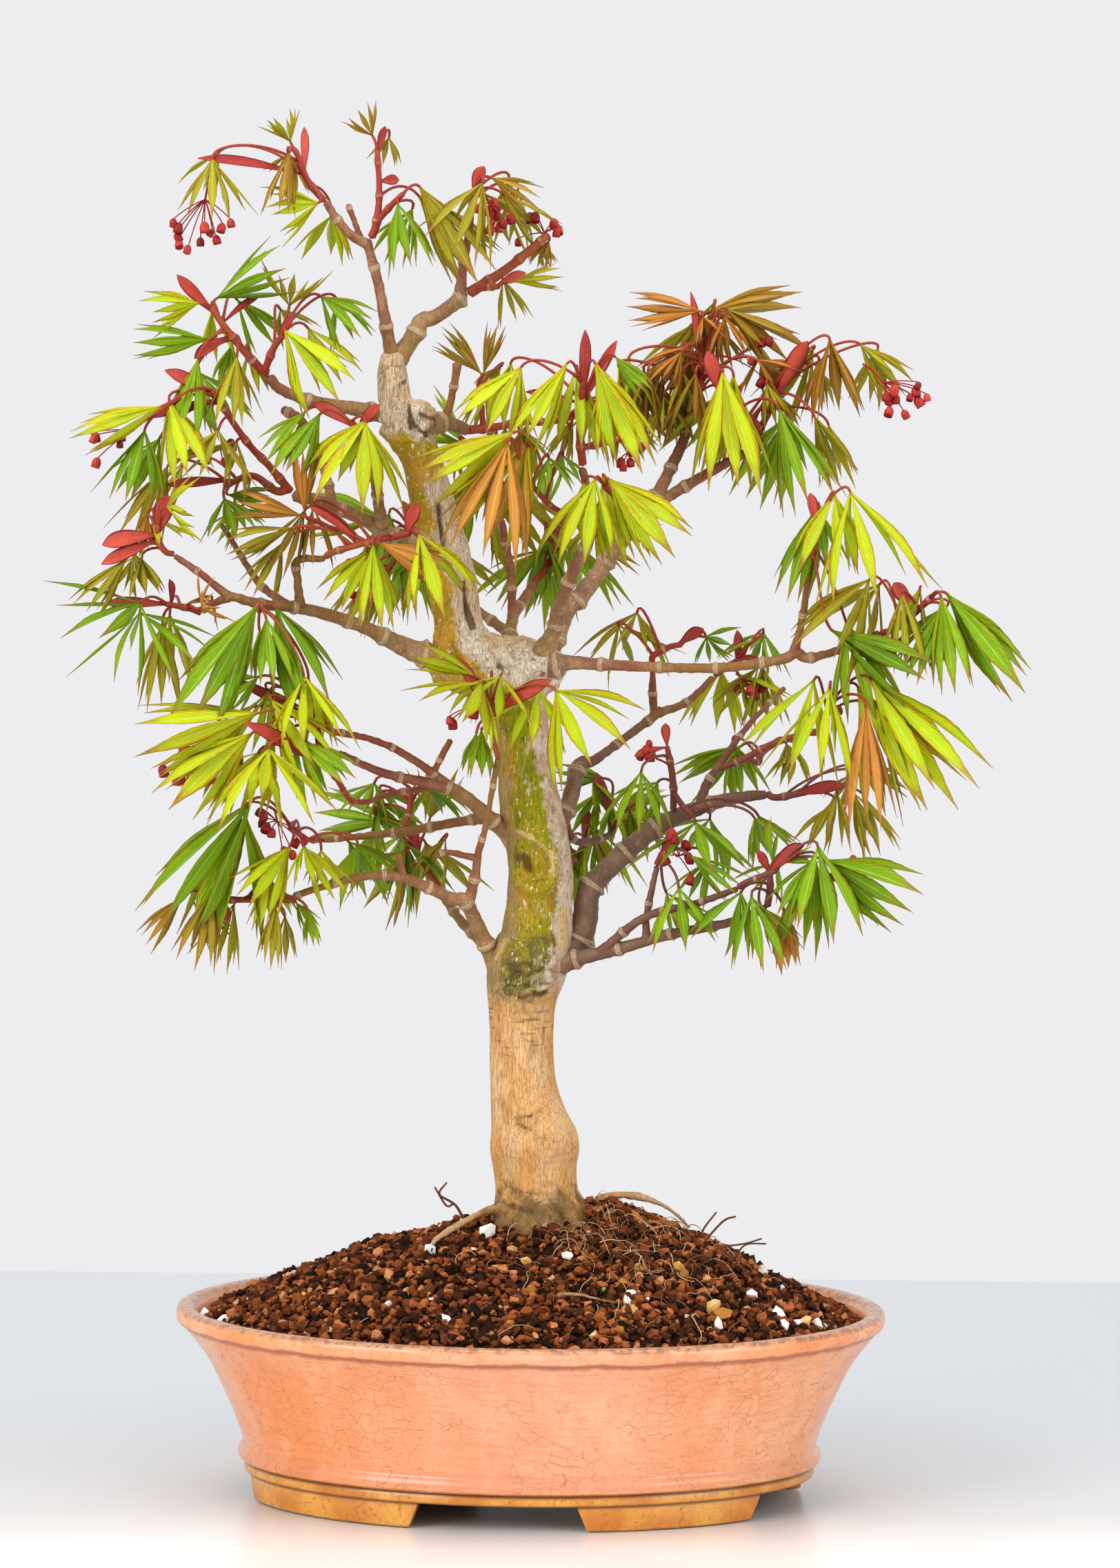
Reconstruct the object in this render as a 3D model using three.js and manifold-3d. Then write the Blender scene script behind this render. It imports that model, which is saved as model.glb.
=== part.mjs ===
// A maple bonsai in an oval glazed pot, in millimetres, +Z up.
// The origin is on the table, under the middle of the whole object's outline. The front faces -Y.
import * as THREE from 'three';
import { mergeVertices } from 'three/addons/utils/BufferGeometryUtils.js';
import Module from 'manifold-3d';

const wasm = await Module();
wasm.setup();

// ---- Driving dimensions ----
const CLEARANCE = 0.35;          // air between pieces that rest on or grow from each other

const POT_X = -2;                // middle of the pot, beside the outline's middle
const RIM_LENGTH = 300;          // pot mouth over the lip, left to right
const RIM_WIDTH = 230;           // pot mouth over the lip, front to back
const POT_HEIGHT = 81;
const LIP_HEIGHT = 7;            // face of the lip
const LIP_TOP = 8;               // flat top of the lip
const LIP_STEP = 2;              // how far the lip stands over the wall under it
const WALL = 7.5;
const NECK_INSET = 28;           // the wall's narrowest place, in from the lip
const NECK_HEIGHT = 24;          // height of that place over the table
const FLARE_POWER = 1.6;         // the wall's curve steepens on its way down to the neck
const FLARE_SHARES = [0.2, 0.45, 0.7, 0.92];  // places on that curve that get a ring, from the neck up
const BEAD_SIZE = 5;             // round roll under the neck
const BEAD_DROP = 2;             // the roll's top, below the neck
const BEAD_PROUD = 1.5;          // how far the roll stands over the neck
const BEAD_ROUNDING = 1;
const STRIP_STEP = 2;            // the strip between the roll and the feet, out from the feet
const FOOT_INSET = 31;           // outside of the foot ring, in from the lip
const FOOT_WIDTH = 9;
const FOOT_HEIGHT = 10.5;
const FLOOR = 6.5;               // thickness of the pot's floor
const GAP_LENGTH = 66;           // opening between two feet, at its top
const GAP_SLANT = 4.5;           // how much each side of that opening leans out towards the table
const GAP_TURN = -9;             // degrees, all four openings together, clockwise seen from above
const HOLE_RADIUS = 12;          // drainage holes
const HOLE_SPACING = 100;
const MESH_OVERLAP = 4;          // the drainage mesh laps the hole's edge by this
const MESH_THICKNESS = 1.2;

const SOIL_DROP = 5.5;           // soil's edge, below the top of the lip
const SOIL_RISE = 45;            // crown of the mound, over that edge
const SOIL_GAP = 2 * CLEARANCE;  // sideways, so that the sloping walls stay clear too
const MOUND_SHARES = [1, 0.8, 0.6, 0.4, 0.2];   // rings of the mound, as shares of its edge
const MOUND_POWER = 1.5;         // how soon the mound falls away from its crown
const ROOT_DEPTH = 24;           // how far the trunk's base goes down into the soil

const TREE_HEIGHT = 466;         // soil crown to the top leaf
const TREE_X = 2;                // trunk base, right of the pot's middle
const LEAF_THICKNESS = 2.4;      // at the leaf's centre, where the petiole ends
const PETIOLE_RADIUS = 0.8;
const BRACT_THICKNESS = 1.2;
const BRACT_WIDEST = 0.6;        // share of a bract's length where it is widest
const FLOWER_RADIUS = 2;
const CUP_LENGTH = 1.5;          // a flower's cup, in radii
const CUP_SHARE = 0.6;           // but at most this share of its thread
const TIP_LENGTH = 0.4;          // blunt point at both ends of a stem

const POT_SIDES = 32;
const TRUNK_SIDES = 10;
const BRANCH_SIDES = 5;
const STEM_SIDES = 4;
const PETIOLE_SIDES = 3;
const DISC_SIDES = 20;

// ---- Solids ----
function solidFrom(points, triangles) {
  const build = (order) => new wasm.Manifold(new wasm.Mesh({
    numProp: 3,
    vertProperties: new Float32Array(points.flat()),
    triVerts: new Uint32Array(order.flat()),
  }));
  const solid = build(triangles);
  return solid.volume() > 0 ? solid : build(triangles.map(([a, b, c]) => [a, c, b]));
}

function solidOf(geometry) {
  geometry.deleteAttribute('normal');
  geometry.deleteAttribute('uv');
  const merged = mergeVertices(geometry, 1e-4);
  return new wasm.Manifold(new wasm.Mesh({
    numProp: 3,
    vertProperties: merged.attributes.position.array,
    triVerts: new Uint32Array(merged.index.array),
  }));
}

function join(solids) {
  return solids.reduce((whole, next) => whole.add(next));
}

// The largest body of a solid: a cut can leave a crumb behind.
function largest(solid) {
  return solid.decompose().reduce((best, next) => (next.volume() > best.volume() ? next : best));
}

function boxesMeet(a, b) {
  return [0, 1, 2].every((k) => a.min[k] < b.max[k] && b.min[k] < a.max[k]);
}

function meshOf(name, solid, look) {
  const { vertProperties, triVerts } = solid.getMesh();
  const geometry = new THREE.BufferGeometry();
  geometry.setAttribute('position', new THREE.BufferAttribute(vertProperties, 3));
  geometry.setIndex(new THREE.BufferAttribute(triVerts, 1));
  geometry.computeVertexNormals();
  const mesh = new THREE.Mesh(geometry, new THREE.MeshStandardMaterial(look));
  mesh.name = name;
  return mesh;
}

// Joins rings of equal point counts, and closes both ends at a middle point.
function loft(rings, start, end) {
  const sides = rings[0].length;
  const points = [start, ...rings.flat(), end];
  const last = points.length - 1;
  const at = (ring, side) => 1 + ring * sides + (side % sides);
  const triangles = [];
  for (let side = 0; side < sides; side += 1) {
    triangles.push([0, at(0, side + 1), at(0, side)]);
    triangles.push([last, at(rings.length - 1, side), at(rings.length - 1, side + 1)]);
    for (let ring = 0; ring < rings.length - 1; ring += 1) {
      triangles.push([at(ring, side), at(ring, side + 1), at(ring + 1, side + 1)]);
      triangles.push([at(ring, side), at(ring + 1, side + 1), at(ring + 1, side)]);
    }
  }
  return solidFrom(points, triangles);
}

// A round stem through [x, y, z, radius] points, with a ring square to the way at each point.
function tube(route, sides, grow = 0) {
  const centres = route.map(([x, y, z]) => new THREE.Vector3(x, y, z));
  const way = centres.map((_, i) => {
    const before = centres[Math.max(i - 1, 0)];
    const after = centres[Math.min(i + 1, centres.length - 1)];
    return after.clone().sub(before).normalize();
  });
  let across = new THREE.Vector3(0.3, 1, 0.2);
  const rings = centres.map((centre, i) => {
    across = across.clone().addScaledVector(way[i], -across.dot(way[i])).normalize();
    const along = way[i].clone().cross(across);
    const radius = route[i][3] + grow;
    return Array.from({ length: sides }, (_, side) => {
      const angle = (2 * Math.PI * side) / sides;
      return centre.clone()
        .addScaledVector(across, radius * Math.cos(angle))
        .addScaledVector(along, radius * Math.sin(angle))
        .toArray();
    });
  });
  const tip = (i, sign) => centres[i].clone().addScaledVector(way[i], sign * (TIP_LENGTH + grow)).toArray();
  return loft(rings, tip(0, -1), tip(centres.length - 1, 1));
}

// ---- Pot ----
const lipHalf = { x: RIM_LENGTH / 2, y: RIM_WIDTH / 2 };
const floorTop = FOOT_HEIGHT + FLOOR;

// The lip's oval moved inwards by the same inset all round, at one height.
function ovalRing(inset, z) {
  return Array.from({ length: POT_SIDES }, (_, side) => {
    const angle = (2 * Math.PI * side) / POT_SIDES;
    const normal = new THREE.Vector2(lipHalf.y * Math.cos(angle), lipHalf.x * Math.sin(angle)).normalize();
    return [
      POT_X + lipHalf.x * Math.cos(angle) - inset * normal.x,
      lipHalf.y * Math.sin(angle) - inset * normal.y,
      z,
    ];
  });
}

// The wall's outside from the lip down to the neck: a hollow curve that steepens on its way down.
function flareInset(z) {
  const top = POT_HEIGHT - LIP_HEIGHT;
  const down = Math.min(1, (top - z) / (top - NECK_HEIGHT));
  return LIP_STEP + (NECK_INSET - LIP_STEP) * (1 - (1 - down) ** FLARE_POWER);
}

const INNER_TOP = POT_HEIGHT - LIP_TOP / 2;
const wallHeights = [0.8, 0.5, 0.2].map((t) => floorTop + t * (INNER_TOP - floorTop));
const innerInset = (z) => flareInset(z) + WALL;

function potSolid() {
  const flareHeights = FLARE_SHARES.map((t) => NECK_HEIGHT + t * (POT_HEIGHT - LIP_HEIGHT - NECK_HEIGHT));
  const innerFoot = FOOT_INSET + FOOT_WIDTH;
  const beadTop = NECK_HEIGHT - BEAD_DROP;
  const beadBottom = beadTop - BEAD_SIZE;
  const beadInset = NECK_INSET - BEAD_PROUD;
  const rings = [
    ovalRing(innerFoot, FOOT_HEIGHT),
    ovalRing(innerFoot, 0),
    ovalRing(FOOT_INSET, 0),
    ovalRing(FOOT_INSET, FOOT_HEIGHT),
    ovalRing(FOOT_INSET - STRIP_STEP, beadBottom - STRIP_STEP),
    ovalRing(beadInset + BEAD_ROUNDING, beadBottom),
    ovalRing(beadInset, (beadTop + beadBottom) / 2),
    ovalRing(beadInset + BEAD_ROUNDING, beadTop),
    ovalRing(NECK_INSET, NECK_HEIGHT),
    ...flareHeights.map((z) => ovalRing(flareInset(z), z)),
    ovalRing(LIP_STEP, POT_HEIGHT - LIP_HEIGHT),
    ovalRing(0, POT_HEIGHT - LIP_HEIGHT / 2),
    ovalRing(LIP_STEP / 2, POT_HEIGHT),
    ovalRing(LIP_TOP, POT_HEIGHT),
    ...wallHeights.map((z) => ovalRing(innerInset(z), z)),
    ovalRing(NECK_INSET + WALL, floorTop),
  ];
  const shell = loft(rings, [POT_X, 0, FOOT_HEIGHT], [POT_X, 0, floorTop]);
  const holes = drainPlaces().map((x) => disc(x, HOLE_RADIUS, FOOT_HEIGHT - 1, floorTop + 1));
  const cutters = [footCutter(GAP_TURN), footCutter(GAP_TURN + 90), ...holes];
  return cutters.reduce((whole, cutter) => whole.subtract(cutter), shell);
}

// A long wedge under the foot ring: it opens the ring on two opposite sides.
function footCutter(heading) {
  const top = GAP_LENGTH / 2;
  const bottom = top + GAP_SLANT;
  const outline = new THREE.Shape([
    new THREE.Vector2(-bottom, -1),
    new THREE.Vector2(bottom, -1),
    new THREE.Vector2(top, FOOT_HEIGHT),
    new THREE.Vector2(-top, FOOT_HEIGHT),
  ]);
  const geometry = new THREE.ExtrudeGeometry(outline, { depth: RIM_LENGTH, bevelEnabled: false });
  geometry.translate(0, 0, -RIM_LENGTH / 2);
  geometry.rotateX(Math.PI / 2);
  geometry.rotateZ(radians(heading));
  geometry.translate(POT_X, 0, 0);
  return solidOf(geometry);
}

function drainPlaces() {
  return [-1, 1].map((side) => POT_X + (side * HOLE_SPACING) / 2);
}

function disc(x, radius, low, high) {
  const geometry = new THREE.CylinderGeometry(radius, radius, high - low, DISC_SIDES);
  geometry.rotateX(Math.PI / 2);
  geometry.translate(x, 0, (low + high) / 2);
  return solidOf(geometry);
}

// A drainage mesh lies on the floor of the pot, over its hole.
function drainMesh(x, grow = 0) {
  const low = floorTop + CLEARANCE;
  return disc(x, HOLE_RADIUS + MESH_OVERLAP + grow, low - grow, low + MESH_THICKNESS + grow);
}

// ---- Soil ----
const soilEdge = POT_HEIGHT - SOIL_DROP;
const soilCrown = soilEdge + SOIL_RISE;

function soilSolid(trunkRoom) {
  const sideHeights = wallHeights.toReversed();
  const wallTop = wallHeights[0];
  const wallAtEdge = THREE.MathUtils.mapLinear(soilEdge, wallTop, POT_HEIGHT, innerInset(wallTop), LIP_TOP);
  const edgeInset = wallAtEdge + SOIL_GAP;
  const moundRing = (share) => ovalRing(edgeInset, soilEdge).map(([x, y]) => [
    POT_X + (x - POT_X) * share,
    y * share,
    soilEdge + SOIL_RISE * (1 - share ** MOUND_POWER),
  ]);
  const rings = [
    ovalRing(NECK_INSET + WALL + SOIL_GAP, floorTop + CLEARANCE),
    ...sideHeights.map((z) => ovalRing(innerInset(z) + SOIL_GAP, z)),
    ...MOUND_SHARES.map(moundRing),
  ];
  const mound = loft(rings, [POT_X, 0, floorTop + CLEARANCE], [POT_X, 0, soilCrown]);
  const pockets = drainPlaces().map((x) => drainMesh(x, CLEARANCE));
  return largest([trunkRoom, ...pockets].reduce((whole, cutter) => whole.subtract(cutter), mound));
}

// ---- The tree's routes ----
// Each point is [x, y, z, radius]: x from the trunk's base, z from the crown of the soil,
// on a tree that is ROUTE_HEIGHT tall. grown() brings a point to its real place and size.
const ROUTE_HEIGHT = 466;
const treeScale = TREE_HEIGHT / ROUTE_HEIGHT;

function grown([x, y, z, ...sizes]) {
  return [
    POT_X + TREE_X + x * treeScale,
    y * treeScale,
    soilCrown + z * treeScale,
    ...sizes.map((size) => size * treeScale),
  ];
}

const TRUNK = {
  stem: [
    [1, 0, -ROOT_DEPTH, 22], [1, 0, -8, 23], [1, 0, 0, 21.5], [0, 0, 8, 18.2], [-1, 0, 20, 17.6],
    [-2, 0, 31, 18.4], [-4, 0, 42, 16], [-6, 0, 54, 14.4], [-7, 0, 72, 13.4], [-7, 0, 88, 14.2],
    [-6, 0, 99, 16.4], [-4, 0, 108, 17], [-1, 0, 117, 15.4], [0, 0, 130, 13.7], [0, 0, 146, 13.9],
    [-2, 0, 164, 13.1], [-5, 0, 178, 12.6], [-8, 0, 200, 11.8], [-12, 0, 222, 12.5], [-22, 0, 230, 14],
    [-33, 2, 240, 12], [-36, 3, 252, 10.3], [-40, 5, 275, 10.3], [-45, 5, 292, 9.8], [-49, 3, 309, 8.7],
    [-53, 1, 321, 8.2], [-58, 0, 330, 8.4], [-62, 0, 340, 7], [-64, 0, 353, 6.5], [-64, 0, 362, 5],
  ],
  crotch: [[-44, 0, 231, 8], [-26, 0, 231, 13.5], [-6, 1, 230, 13], [6, 0, 231, 8]],
  knob: [[-57, 0, 333, 6], [-52, -6, 339, 6.5]],
  burl: [[-2, 0, 31, 13], [6, -5, 35, 12.5]],
  root_left: [[-5, -4, -3, 9], [-17, -11, 1, 5], [-31, -19, -5, 3.6], [-45, -27, -13, 2]],
  root_right: [[11, 4, -4, 9], [29, 12, -2, 4.2], [43, 16, -4, 3.8], [61, 21, -15, 1.8]],
  root_front: [[4, -6, -4, 11], [15, -12, 0, 7], [22, -24, -11, 3.5]],
  root_back: [[-3, 8, -4, 10], [-11, 26, -7, 4.5], [-19, 44, -16, 2.2]],
};

const BRANCHES = {
  apex_left: [
    [[-64, 0, 360, 2.7], [-67, -2, 375, 2.5], [-70, -3, 391, 2.1], [-75, -4, 409, 2]],
    [[-75, -4, 408, 1.9], [-82, -5, 412, 1.9], [-88, -6, 419, 1.8], [-92, -7, 425, 1.7]],
    [[-77, -4, 409, 1.2], [-83, -2, 424, 1.1]],
  ],
  apex_right: [
    [[-62, 2, 360, 3.6], [-55, 3, 370, 3.6], [-52, 4, 376, 3.5], [-46, 5, 378, 3.1], [-35, 6, 386, 3.2]],
    [[-36, 6, 387, 2.4], [-35, 5, 399, 1.9], [-33, 4, 410, 1.7], [-32, 3, 420, 1.5]],
  ],
  left_high: [
    [[-62, 0, 336, 4], [-78, -2, 339, 3.1], [-96, -6, 342, 2.6], [-110, -9, 347, 2.3],
      [-115, -10, 352, 2.2]],
  ],
  left_upper: [
    [[-48, 2, 284, 5], [-64, 0, 286, 3.6], [-75, -4, 293, 3], [-95, -10, 301, 2.6], [-104, -13, 303, 2.5]],
    [[-68, -3, 291, 2.8], [-70, -16, 307, 2], [-73, -24, 319, 1.8], [-74, -30, 326, 1.6]],
    [[-88, -8, 298, 2], [-93, 2, 316, 1.9], [-102, 8, 333, 1.9], [-110, 12, 338, 2]],
  ],
  left_long: [
    [[-38, 0, 234, 6], [-54, -3, 238, 4.6], [-72, -11, 247, 2.9], [-87, -18, 253, 2.6],
      [-102, -25, 257, 2.4], [-117, -34, 259, 2.1], [-131, -39, 263, 1.9]],
    [[-131, -39, 263, 1.8], [-142, -41, 272, 1.4], [-152, -44, 279, 1.3]],
    [[-130, -39, 262, 1.7], [-137, -36, 259, 1.4], [-141, -34, 256, 1.2]],
    [[-101, -25, 258, 2], [-102, -28, 269, 1.6], [-102, -29, 277, 1.7], [-91, -32, 278, 1.3]],
    [[-106, -26, 258, 1.7], [-118, -17, 266, 1.5], [-128, -8, 280, 1.2], [-135, -2, 290, 1.1]],
  ],
  left_lower: [
    [[-10, 0, 157, 4.2], [-18, -3, 165, 3.2], [-34, -11, 179, 2.8], [-45, -14, 183, 2.3],
      [-66, -20, 188, 1.8], [-84, -30, 197, 1.2]],
    [[-35, -11, 180, 1.9], [-54, -20, 194, 1.6], [-69, -27, 202, 1.4], [-84, -36, 206, 1.3]],
    [[-17, -3, 165, 2.1], [-24, 2, 167, 2.1], [-35, 8, 165, 2], [-58, 16, 160, 1.8], [-92, 26, 155, 1.2]],
    [[-43, -14, 182, 1.6], [-62, -5, 178, 1.3], [-73, -2, 174, 1.2]],
    [[-45, -14, 183, 1.5], [-44, -17, 190, 1.3], [-38, -22, 202, 1.2]],
  ],
  left_low: [
    [[-16, 0, 103, 5], [-22, -4, 114, 3.4], [-31, -12, 133, 2.9], [-37, -14, 135, 2.7],
      [-57, -21, 144, 2], [-74, -26, 145, 1.8], [-94, -32, 140, 1.5], [-102, -34, 137, 1.4]],
    [[-30, -11, 132, 2.3], [-27, -14, 145, 2], [-26, -17, 154, 1.6], [-23, -21, 166, 1.3],
      [-18, -31, 195, 1.2]],
    [[-26, -16, 152, 1.4], [-39, -20, 155, 1.2], [-44, -21, 153, 1.2]],
    [[-57, -21, 144, 1.5], [-59, -23, 154, 1.2]],
  ],
  right_long: [
    [[-4, -3, 231, 7], [6, -5, 233, 5], [13, -6, 234, 3], [39, -10, 233, 2.2], [74, -14, 233, 2],
      [99, -18, 237, 2.2], [106, -19, 240, 2.3], [111, -20, 238, 2], [125, -22, 242, 1.6],
        [140, -25, 249, 1.5]],
    [[105, -19, 240, 1.9], [108, -21, 253, 1.5], [111, -25, 276, 1.4]],
  ],
  right_main: [
    [[-3, 5, 232, 7], [4, 7, 240, 5], [10, 10, 255, 4.8], [16, 12, 261, 4.5], [30, 15, 280, 3.6],
      [48, 19, 304, 3]],
    [[47, 19, 302, 2.8], [52, 22, 312, 2.5], [59, 28, 327, 2.2], [59, 29, 331, 2]],
    [[46, 19, 301, 2.9], [51, 20, 302, 2.5], [66, 21, 311, 2.2], [91, 24, 325, 1.7]],
  ],
  centre: [
    [[0, -5, 238, 5], [5, -8, 248, 4.1], [7, -11, 258, 3.8], [16, -20, 281, 2.6], [23, -27, 292, 1.9],
      [35, -34, 296, 1.4]],
    [[19, -23, 286, 2], [18, -26, 306, 1.8], [16, -27, 316, 1.8]],
    [[18, -25, 290, 1.6], [15, -28, 295, 1.3], [9, -31, 298, 1.2]],
  ],
  top_back: [
    [[-53, 1, 329, 5], [-45, 6, 333, 3.9], [-40, 11, 333, 3.2], [-33, 18, 330, 2.3]],
    [[-42, 9, 334, 2], [-40, 9, 341, 1.6], [-38, 8, 351, 1.6], [-37, 7, 358, 2]],
  ],
  back: [
    [[-16, 6, 230, 6], [-15, 20, 237, 3.4], [-14, 34, 243, 2.8], [-12, 52, 251, 2.3], [-4, 70, 262, 1.9]],
    [[-14, 34, 243, 2.2], [-30, 48, 254, 1.9], [-44, 60, 268, 1.6]],
    [[-13, 44, 247, 2], [-14, 50, 268, 1.7], [-18, 54, 290, 1.5]],
  ],
  right_lower: [
    [[5, 1, 110, 8], [15, 3, 114, 6.2], [19, 5, 124, 5.6], [21, 7, 137, 5], [32, 11, 149, 4.5],
      [49, 14, 163, 4],
      [66, 16, 171, 3.3], [79, 18, 175, 2.8], [95, 21, 177, 1.9]],
    [[67, 16, 172, 2], [70, 18, 181, 1.9], [78, 22, 193, 1.6], [88, 29, 206, 1.2], [103, 38, 221, 1]],
  ],
  right_low: [
    [[2, -4, 104, 7], [15, -7, 109, 3.6], [33, -11, 114, 2.6], [54, -18, 121, 2.2],
      [78, -26, 127, 1.9], [94, -31, 134, 1.7]],
    [[26, -10, 113, 1.9], [44, -17, 128, 1.8], [65, -25, 135, 1.5], [82, -33, 142, 1.3]],
    [[45, -16, 119, 1.7], [45, -14, 129, 1.4], [49, -12, 149, 1.2]],
  ],
  right_back: [
    [[3, 7, 160, 5], [11, 13, 171, 3.6], [16, 21, 188, 3.2], [22, 26, 190, 2.2], [33, 38, 197, 1.8],
      [51, 50, 210, 2]],
    [[50, 49, 209, 1.8], [62, 58, 213, 1.6], [73, 66, 223, 1.2]],
    [[48, 48, 207, 1.7], [47, 44, 219, 1.6], [47, 40, 229, 1.2]],
    [[9, 12, 168, 1.8], [15, 24, 156, 1.6], [28, 46, 156, 1.3], [30, 56, 157, 1.2]],
  ],
  back_low: [
    [[-10, 9, 90, 5], [-14, 20, 98, 3.4], [-22, 38, 108, 2.6], [-34, 56, 118, 2.1], [-44, 70, 130, 1.7]],
    [[-20, 34, 106, 2.2], [-6, 48, 120, 1.8], [10, 60, 136, 1.5]],
  ],
};

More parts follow.
